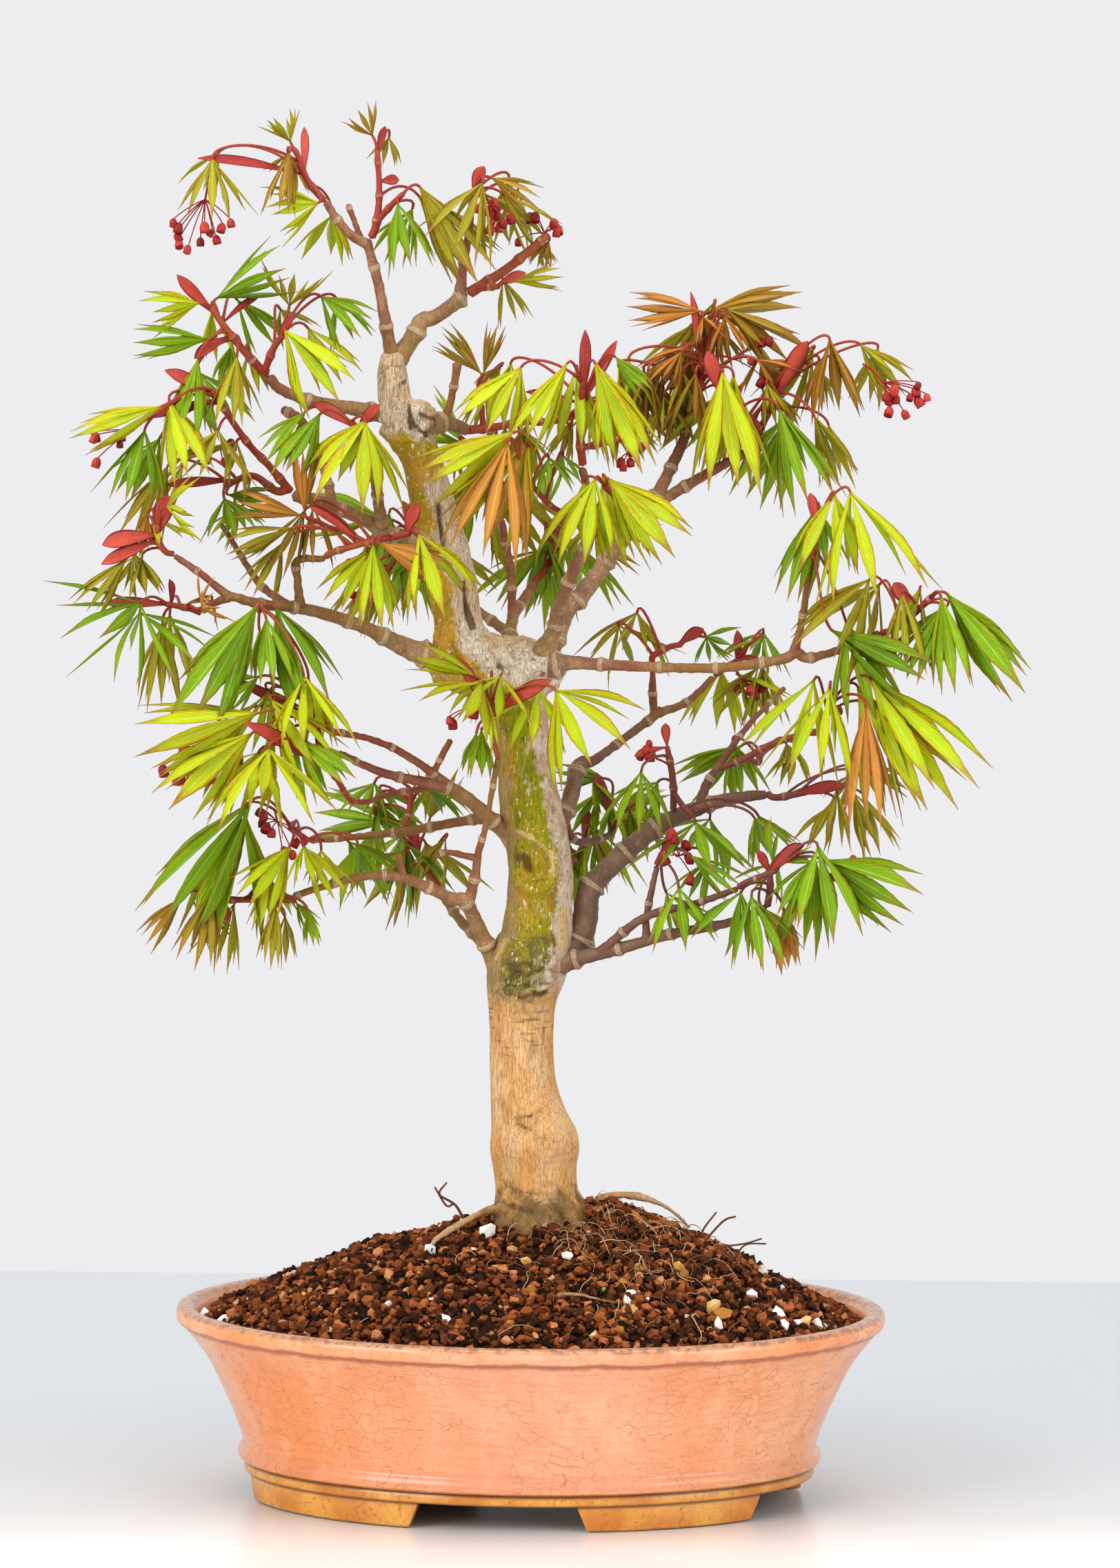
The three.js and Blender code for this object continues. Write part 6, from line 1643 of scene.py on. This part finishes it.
def stalk(start, end, arrive, radius, bundle, age):
    reach = np.linalg.norm(end - start)
    lift = np.array([0, 0, 0.25 * reach])
    first = start + (end - start) * 0.35 + lift
    second = end - arrive * min(0.35 * reach, 7 * MM)
    t = np.linspace(0, 1, max(6, int(reach / (2.2 * MM))))[:, None]
    line = start * (1 - t) ** 3 + 3 * first * t * (1 - t) ** 2 + 3 * second * t ** 2 * (1 - t) + end * t ** 3
    girth = radius * (1 + 0.5 * np.exp(-np.linspace(0, 1, len(line)) * 14))
    points, faces = round_wood(np.column_stack([line, girth]), 6)
    bundle.add(points, faces, ring=0.0, age=age)


def hang_leaf(bundle, places, x, y, z, heading, spread, length, letter, finger_turns=FINGER_TURNS):
    hub = np.array(real([(x, y, z)])[0])
    turn = math.radians(heading)
    outward = -1 if y < 0 else 1
    axis = unit(np.array([math.cos(turn), outward * 0.22, math.sin(turn)]))
    across = np.array([-math.sin(turn), 0, math.cos(turn)])
    ahead = np.cross(axis, across)
    ahead *= outward * np.sign(ahead[1])
    opening = math.radians(min(max(spread / 2, 13), 50))
    stalk(nearest_free(places, hub), hub, axis, 0.62 * MM, stems_wood, -0.4)
    tone = TONES[letter] + rng.uniform(-0.05, 0.05)
    slim = SLIM[letter] * rng.uniform(0.62, 1.05)
    for turn_round in finger_turns:
        share = SHARES[abs(turn_round)] * rng.uniform(0.9, 1.08)
        if abs(turn_round) > 140 and rng.uniform() < 0.5:
            continue
        around = math.radians(turn_round + rng.uniform(-9, 9))
        rib = across * math.sin(around) + ahead * math.cos(around)
        wide_open = opening * rng.uniform(0.85, 1.3)
        direction = unit(axis * math.cos(wide_open) + rib * math.sin(wide_open))
        upper = unit(rib - direction * direction.dot(rib) + across * rng.uniform(-0.3, 0.3))
        size = length * share * LEAF_REACH * MM
        points, uv = blade(
            hub, direction, upper, size, size * slim * rng.uniform(0.85, 1.2) + 0.9 * MM,
            droop=rng.uniform(0.0, 0.28), curl=rng.uniform(-0.25, 0.3) * math.sin(opening) * 1.6,
            fold=rng.uniform(0.35, 0.85), teeth=0.035, outline=OUTLINE_WIDE)
        bundle.add(points, BLADE_FACES, uv, tone=tone + rng.uniform(-0.05, 0.05), shade=rng.uniform(0, 1))


def add_bract(places, x, y, z, width):
    tip = np.array(real([(x, y, z)])[0])
    start = min(places, key=lambda place: np.linalg.norm(place - tip))
    way = tip - start
    upper = unit(np.array([0.2 * rng.normal(), -1 if y < 0 else 1, 0.5]) + 0.2 * rng.normal(size=3))
    points, uv = blade(
        start, unit(way), upper, np.linalg.norm(way) * 1.03, width * MM * 1.15,
        droop=0, curl=0.35, fold=0.45, teeth=0, outline=BRACT_WIDE, thickness=0.5)
    bract_blades.add(points, BLADE_FACES, uv, tone=rng.uniform(0, 1), shade=rng.uniform(0, 1))


print("leaf tones:", len(TONES))

# %% Dress every shoot
for name, shoot in SHOOTS.items():
    for route in shoot["stems"]:
        path, ring = with_nodes(eased(real(route), 0.9 * MM), 13 * MM, 0.3)
        points, faces = rough_tube(path, STEM_SIDES, 0.08 * MM)
        stems_wood.add(points, faces, ring=per_point(ring, STEM_SIDES) * 0.7, age=0.15)
    places = attach_places(shoot["stems"])
    for leaf in shoot["leaves"]:
        hang_leaf(leaf_sides[side_of(name)], places, *leaf)
    for bract in shoot.get("bracts", []):
        add_bract(places, *bract)
    for x, y, z, heading, spread, length, letter in shoot["leaves"]:
        deeper = -1 if y < -30 else 1
        hang_leaf(
            inner_leaves[side_of(name)], places,
            x + rng.uniform(-9, 9), y * 0.6 + deeper * rng.uniform(6, 18) + 6, z + rng.uniform(-7, 3),
            rng.uniform(-130, -50), max(spread, 40), length * rng.uniform(0.7, 1.0),
            INNER_TONES[letter], FINGER_TURNS[:6])
print("leaf points:", {side: bundle.count for side, bundle in leaf_sides.items()})

# %% [markdown]
# ## Leaf green, and all its neighbours
#
# In spring this maple shows every tone from yellow-green to bronze at once. One material covers
# them all: the leaf's tone picks a colour for the blade, another for its edge, and the tip turns
# brown. Along the finger, the pale midrib and slanted side veins come from the two numbers of the
# UV map, which say how far across and how far along a point lies. So the veins bend with the leaf.

# %% The leaf material
foliage, tree, shader, place = surface(
    "foliage", Roughness=0.45, Specular_IOR_Level=0.15, Subsurface_Weight=0.18, Subsurface_Scale=0.002)
shader.inputs["Subsurface Radius"].default_value = (1.0, 1.0, 0.3)
uv = node(tree, "SeparateXYZ", {"Vector": node(tree, "UVMap", uv_map="across_along").outputs["UV"]})
across = sums(tree, "ABSOLUTE", uv.outputs["X"])
along = uv.outputs["Y"]
tone = node(tree, "Attribute", attribute_name="tone").outputs["Fac"]
shade = node(tree, "Attribute", attribute_name="shade").outputs["Fac"]
cloud = sums(tree, "SUBTRACT", grain_noise(tree, place, 130, 4, 0.6), 0.5)
tinted = sums(tree, "ADD", tone, sums(tree, "MULTIPLY", cloud, 0.16), clamp=True)
blade_paint = ramp(tree, tinted, [
    (0.0, "5a9006"), (0.16, "86b808"), (0.33, "c6de0a"), (0.5, "b4b414"),
    (0.64, "a4901c"), (0.8, "bc7e26"), (0.95, "e29040")])
edge_paint = ramp(tree, tinted, [
    (0.0, "4c6c08"), (0.16, "a89c10"), (0.33, "f0b414"), (0.5, "cc8a1c"),
    (0.64, "8c5418"), (0.8, "94481e"), (0.95, "c05222")])
edge_mask = fade(tree, sums(tree, "ADD", across, sums(tree, "MULTIPLY", cloud, 0.7)), 0.45, 1.0)
edged = blend(tree, sums(tree, "MULTIPLY", edge_mask, 0.75), blade_paint, edge_paint)
tip_mask = fade(tree, sums(tree, "ADD", along, sums(tree, "MULTIPLY", cloud, 0.35)), 0.7, 0.98)
tipped = tint(tree, tip_mask, 0.8, edged, "a8512e")
throat = sums(tree, "MULTIPLY", fade(tree, along, 0.4, 0.0), 0.45)
lit = blend(tree, throat, tipped, paint("d9dc4a"), "SOFT_LIGHT")
slant = sums(tree, "SUBTRACT", sums(tree, "MULTIPLY", along, 9.0), sums(tree, "MULTIPLY", across, 4.0))
from_vein = sums(tree, "ABSOLUTE", sums(tree, "SUBTRACT", sums(tree, "FRACT", slant), 0.5))
side_veins = fade(tree, from_vein, 0.3, 0.0)
veined = tint(tree, side_veins, 0.3, lit, "5a7414")
midrib = fade(tree, across, 0.11, 0.02)
ribbed = tint(tree, midrib, 0.5, veined, "dfe08a")
darker = sums(tree, "MULTIPLY", shade, 0.32)
tree.links.new(blend(tree, darker, ribbed, paint("98944c"), "MULTIPLY"), shader.inputs["Base Color"])
bumped(tree, shader, sums(tree, "SUBTRACT", sums(tree, "MULTIPLY", cloud, 0.8), side_veins), 0.45, 0.0004)
print("foliage: blade, edge, tip and vein paints joined")

# %% Give the leaves their material
for side, bundle in leaf_sides.items():
    mine = [f"shoot_{name}" for name in SHOOTS if side_of(name) == side]
    finish(bundle.piece(f"leaves_{side}"), foliage, "foliage", *mine)
for side, bundle in inner_leaves.items():
    finish(bundle.piece(f"leaves_inner_{side}"), foliage, "foliage")

# %% [markdown]
# ## Red stems and bracts
#
# New growth is red: the stems and stalks wine-coloured, and the bud scales, or bracts, coral with
# pale veins that run their whole length. The bracts are the finger shape with a broader outline.

# %% Stems and bracts
red_stems = twig_bark("red_stems", "a43426", "8a4030", "a8583c", "a8602c")
finish(stems_wood.piece("shoot_stems"), red_stems, "foliage")

bract_red, tree, shader, place = surface("bract_red", Roughness=0.42, Specular_IOR_Level=0.25)
uv = node(tree, "SeparateXYZ", {"Vector": node(tree, "UVMap", uv_map="across_along").outputs["UV"]})
tone = node(tree, "Attribute", attribute_name="tone").outputs["Fac"]
cloud = grain_noise(tree, place, 160, 4, 0.6)
coral = ramp(tree, sums(tree, "ADD", sums(tree, "MULTIPLY", tone, 0.5), sums(tree, "MULTIPLY", cloud, 0.6)), [
    (0.15, "781010"), (0.45, "a82820"), (0.8, "cf4c3c")])
folds = sums(tree, "FRACT", sums(tree, "MULTIPLY", uv.outputs["X"], 3.5))
ribs = sums(tree, "ABSOLUTE", sums(tree, "SUBTRACT", folds, 0.5))
pale_ribs = fade(tree, ribs, 0.12, 0.0)
fleshy = tint(tree, pale_ribs, 0.45, coral, "f0b49a")
base = sums(tree, "MULTIPLY", fade(tree, uv.outputs["Y"], 0.35, 0.0), 0.5)
rim = sums(tree, "MULTIPLY", fade(tree, sums(tree, "ABSOLUTE", uv.outputs["X"]), 0.6, 1.0), 0.6)
rimmed = blend(tree, rim, fleshy, paint("6e1410"))
tree.links.new(blend(tree, base, rimmed, paint("8a1e18")), shader.inputs["Base Color"])
bumped(tree, shader, pale_ribs, 0.5, 0.0004)
bracts = bract_blades.piece("bracts")
finish(bracts, bract_red, "foliage")

# %% [markdown]
# ## Flowers
#
# The flowers are small deep-red cups that hang in loose bunches on threads. One cup is shaped from
# a UV sphere: its lower cap is pushed up inside in edit mode, so that it is open below, and its
# mouth is flared. The copies hang at their own tilt, and each gets a thread to the bunch's centre.

# %% Flower cups
bpy.ops.object.select_all(action="DESELECT")
bpy.ops.mesh.primitive_uv_sphere_add(segments=10, ring_count=7, radius=1, location=(0, 0, 0))
cup = bpy.context.object
bpy.ops.object.mode_set(mode="EDIT")
work = bmesh.from_edit_mesh(cup.data)
for v in work.verts:
    v.select = v.co.z < -0.7
work.select_flush(True)
bmesh.update_edit_mesh(cup.data)
bpy.ops.transform.translate(value=(0, 0, 0.75))
bpy.ops.mesh.select_all(action="DESELECT")
work = bmesh.from_edit_mesh(cup.data)
for v in work.verts:
    v.select = -0.7 < v.co.z < -0.3
bmesh.update_edit_mesh(cup.data)
bpy.ops.transform.resize(value=(1.2, 1.2, 1))
bpy.ops.mesh.select_all(action="SELECT")
bpy.ops.transform.resize(value=(0.85, 0.85, 1.15))
bpy.ops.object.mode_set(mode="OBJECT")
CUP_POINTS = np.array([v.co for v in cup.data.vertices])
CUP_FACES = [tuple(p.vertices) for p in cup.data.polygons]
bpy.data.objects.remove(cup)

print("cup points:", len(CUP_POINTS))

# %% Hang the flowers
flower_cups = Bundle()


def thread(start, end, radius, sag):
    bend = (start + end) / 2 + np.array([0, 0, sag * np.linalg.norm(end - start)])
    t = np.linspace(0, 1, 8)[:, None]
    line = start * (1 - t) ** 2 + 2 * bend * t * (1 - t) + end * t ** 2
    points, faces = round_wood(np.column_stack([line, np.full(8, radius)]), 5)
    flower_cups.add(points, faces, tone=0.35)


for (x, y, z), cups in FLOWERS:
    centre = np.array(real([(x, y, z)])[0])
    middle = np.array(real([(np.mean([c[0] for c in cups]), y, np.mean([c[1] for c in cups]))])[0])
    meeting = centre + (middle - centre) * 0.5
    thread(centre, meeting, 0.5 * MM, 0.15)
    for cup_x, cup_z in cups + [(a + rng.uniform(-4, 4), b + rng.uniform(-3, 4)) for a, b in cups[::2]]:
        depth = y + rng.uniform(-6, 6)
        spot = np.array(real([(cup_x, depth, cup_z)])[0])
        swing = rng.uniform(-0.7, 0.7)
        around = Vector((rng.normal(), rng.normal(), 0.2)).normalized()
        tilt = np.array(Matrix.Rotation(swing, 3, around))
        size = rng.uniform(1.8, 2.7) * MM
        flower_cups.add(CUP_POINTS @ tilt.T * size + spot, CUP_FACES, tone=rng.uniform(0, 1))
        thread(meeting, spot + tilt @ np.array([0, 0, size]), 0.28 * MM, 0.1)
print("flower points:", flower_cups.count)

# %% The flowers' red
flower_red, tree, shader, place = surface("flower_red", Roughness=0.4, Specular_IOR_Level=0.25)
tone = node(tree, "Attribute", attribute_name="tone").outputs["Fac"]
blush = sums(tree, "MULTIPLY", grain_noise(tree, place, 600, 3), 0.5)
mixed = sums(tree, "ADD", sums(tree, "MULTIPLY", tone, 0.6), blush)
petals = ramp(tree, mixed, [(0.2, "6e1418"), (0.55, "a5221f"), (0.9, "c8443a")])
tree.links.new(petals, shader.inputs["Base Color"])
bumped(tree, shader, grain_noise(tree, place, 900, 3), 0.3, 0.0003)
flowers = flower_cups.piece("flowers")
finish(flowers, flower_red, "foliage")

# %% [markdown]
# ## Fine roots and stray twigs
#
# Washed-out rootlets lie over the soil, thickest in front and to the right of the trunk, and a few
# wiry dead twigs stand up from it. Each is a short route that wanders at random over the mound.

# %% Rootlets
rootlets = Bundle()


def wander(x, y, heading, length, radius, lift, curl):
    route = []
    for step in range(int(length / 2.5)):
        share = step / max(1, int(length / 2.5) - 1)
        height = on_mound(x, y) + 0.7 + lift * math.sin(math.pi * share) - 1.2 * (step == 0)
        route.append((x, y, height - SOIL_CROWN, radius * (1 - 0.6 * share)))
        heading += rng.normal() * curl
        x += 2.5 * math.cos(heading)
        y += 2.5 * math.sin(heading)
        if mound_share(x, y) > 0.97 or math.hypot(x - 1, y) < 17:
            break
    if len(route) > 3:
        points, faces = round_wood(eased(real(route), 1.2 * MM), 5)
        rootlets.add(points, faces, tone=rng.uniform(0, 1))


FRONT_ROOTLETS = 230
STRAY_ROOTLETS = 60
for _ in range(FRONT_ROOTLETS):
    wander(rng.normal(32, 26), rng.normal(-28, 24), rng.uniform(0, 6.28), rng.uniform(8, 26),
           rng.uniform(0.12, 0.3), rng.uniform(0.3, 4), 0.5)
for _ in range(STRAY_ROOTLETS):
    wander(rng.uniform(-100, 100), rng.uniform(-90, 80), rng.uniform(0, 6.28), rng.uniform(8, 24),
           rng.uniform(0.12, 0.26), rng.uniform(0, 2), 0.5)
for x, y, heading, radius in (
        (8, -68, -0.1, 0.9), (20, -30, -0.5, 0.5), (-22, -44, -0.6, 0.5), (62, -36, 0.8, 0.5)):
    wander(x, y, heading, 28, radius, 2, 0.16)
print("rootlet points:", rootlets.count)

# %% Stray twigs
STRAY_TWIGS = [
    [(-29, -6, -6, 0.7), (-34, -8, 4, 0.6), (-41, -9, 9, 0.5), (-38, -9, 14, 0.4)],
    [(-35, -8, 5, 0.5), (-38, -8, 4, 0.5), (-43, -9, 12, 0.4)],
    [(66, -8, -18, 0.6), (72, -8, -9, 0.5), (79, -9, -1, 0.5), (84, -10, 1, 0.4)],
    [(70, -12, -16, 0.5), (78, -12, -12, 0.5), (88, -13, -10, 0.4), (95, -12, -8, 0.4)],
    [(72, 0, -17, 0.5), (70, 1, -8, 0.5), (76, 2, 1, 0.4)],
    [(26, 8, -4, 0.5), (29, 9, 4, 0.5), (33, 9, 6, 0.4)],
    [(83, -4, -20, 0.5), (88, -5, -12, 0.4), (97, -6, -11, 0.4)],
]
for route in STRAY_TWIGS:
    points, faces = round_wood(eased(real(route), 1.2 * MM), 5)
    rootlets.add(points, faces, tone=0.2)
root_skin = earthy("root_skin", [(0, "4a2814"), (0.55, "8a5830"), (1, "e0bc92")], 0.8)
roots = rootlets.piece("rootlets")
finish(roots, root_skin, "soil")

# %% [markdown]
# ## The studio
#
# The pot stands on a pale, slightly glossy table top whose far edge shows behind it. The light is
# plain and soft: a bright pale surround, with a large lamp from each side and one overhead.
# The camera stands a little above the pot, three metres off, with a long lens, so that the pot's
# oval is seen almost from the side.

# %% The table
bpy.ops.object.select_all(action="DESELECT")
bpy.ops.mesh.primitive_plane_add(size=1, location=(0, -1.6, -0.0004), scale=(1, 1, 1))
table = bpy.context.object
table.name = "table_top"
table.scale = (6, 4.385, 1)
bpy.ops.object.transform_apply(location=True, scale=True)
table_paint, tree, shader, place = surface("table_paint", Roughness=0.28)
depth = node(tree, "SeparateXYZ", {"Vector": place}).outputs["Y"]
clouds = sums(tree, "MULTIPLY", grain_noise(tree, place, 3.0, 3), 0.3)
# Painted light fall-off: the table is painted darker towards the back and brighter towards the front; further
# in front still it turns grey.
painted_light_falloff = ramp(tree, sums(tree, "ADD", fade(tree, depth, 0.35, -0.3), clouds), [
    (0.3, "c1c5c9"), (0.8, "cdcccb"), (1, "ece9e6")])
far_in_front = fade(tree, depth, -0.38, -0.8)
tree.links.new(blend(tree, far_in_front, painted_light_falloff, paint("a4a5a6")), shader.inputs["Base Color"])
table.data.materials.append(table_paint)

print("table laid:", tuple(round(size, 2) for size in table.dimensions))

# %% Surround and lamps
world = bpy.data.worlds.new("pale_surround")
bpy.context.scene.world = world
world.use_nodes = True
world.node_tree.nodes["Background"].inputs["Color"].default_value = paint("f5f5f7")
world.node_tree.nodes["Background"].inputs["Strength"].default_value = 0.93


def soft_lamp(name, place, target, size, power):
    lamp = bpy.data.lights.new(name, "AREA")
    lamp.size = size
    lamp.energy = power
    holder = bpy.data.objects.new(name, lamp)
    bpy.context.scene.collection.objects.link(holder)
    holder.location = place
    holder.rotation_euler = (Vector(target) - Vector(place)).to_track_quat("-Z", "Y").to_euler()


soft_lamp("left_lamp", (-1.5, -1.6, 1.3), (0, 0, 0.3), 1.2, 31)
soft_lamp("right_lamp", (1.7, -1.2, 0.9), (0, 0, 0.25), 1.2, 14)
soft_lamp("top_lamp", (0, -0.4, 2.2), (0, 0, 0.2), 1.6, 20)

# %% The camera
CAMERA_DOWN = 5.07
CAMERA_ROLL = 0.61
camera_data = bpy.data.cameras.new("camera")
camera_data.lens = 164.4
camera_data.sensor_width = 36
camera_data.sensor_fit = "AUTO"
camera = bpy.data.objects.new("camera", camera_data)
bpy.context.scene.collection.objects.link(camera)
camera.location = (0.008, -3.0, 0.569)
tilt = Matrix.Rotation(math.radians(90 - CAMERA_DOWN), 4, "X")
roll = Matrix.Rotation(math.radians(CAMERA_ROLL), 4, "Z")
camera.rotation_euler = (tilt @ roll).to_euler()
bpy.context.scene.camera = camera
bpy.context.scene.view_settings.view_transform = "Standard"
print("camera at", tuple(camera.location))
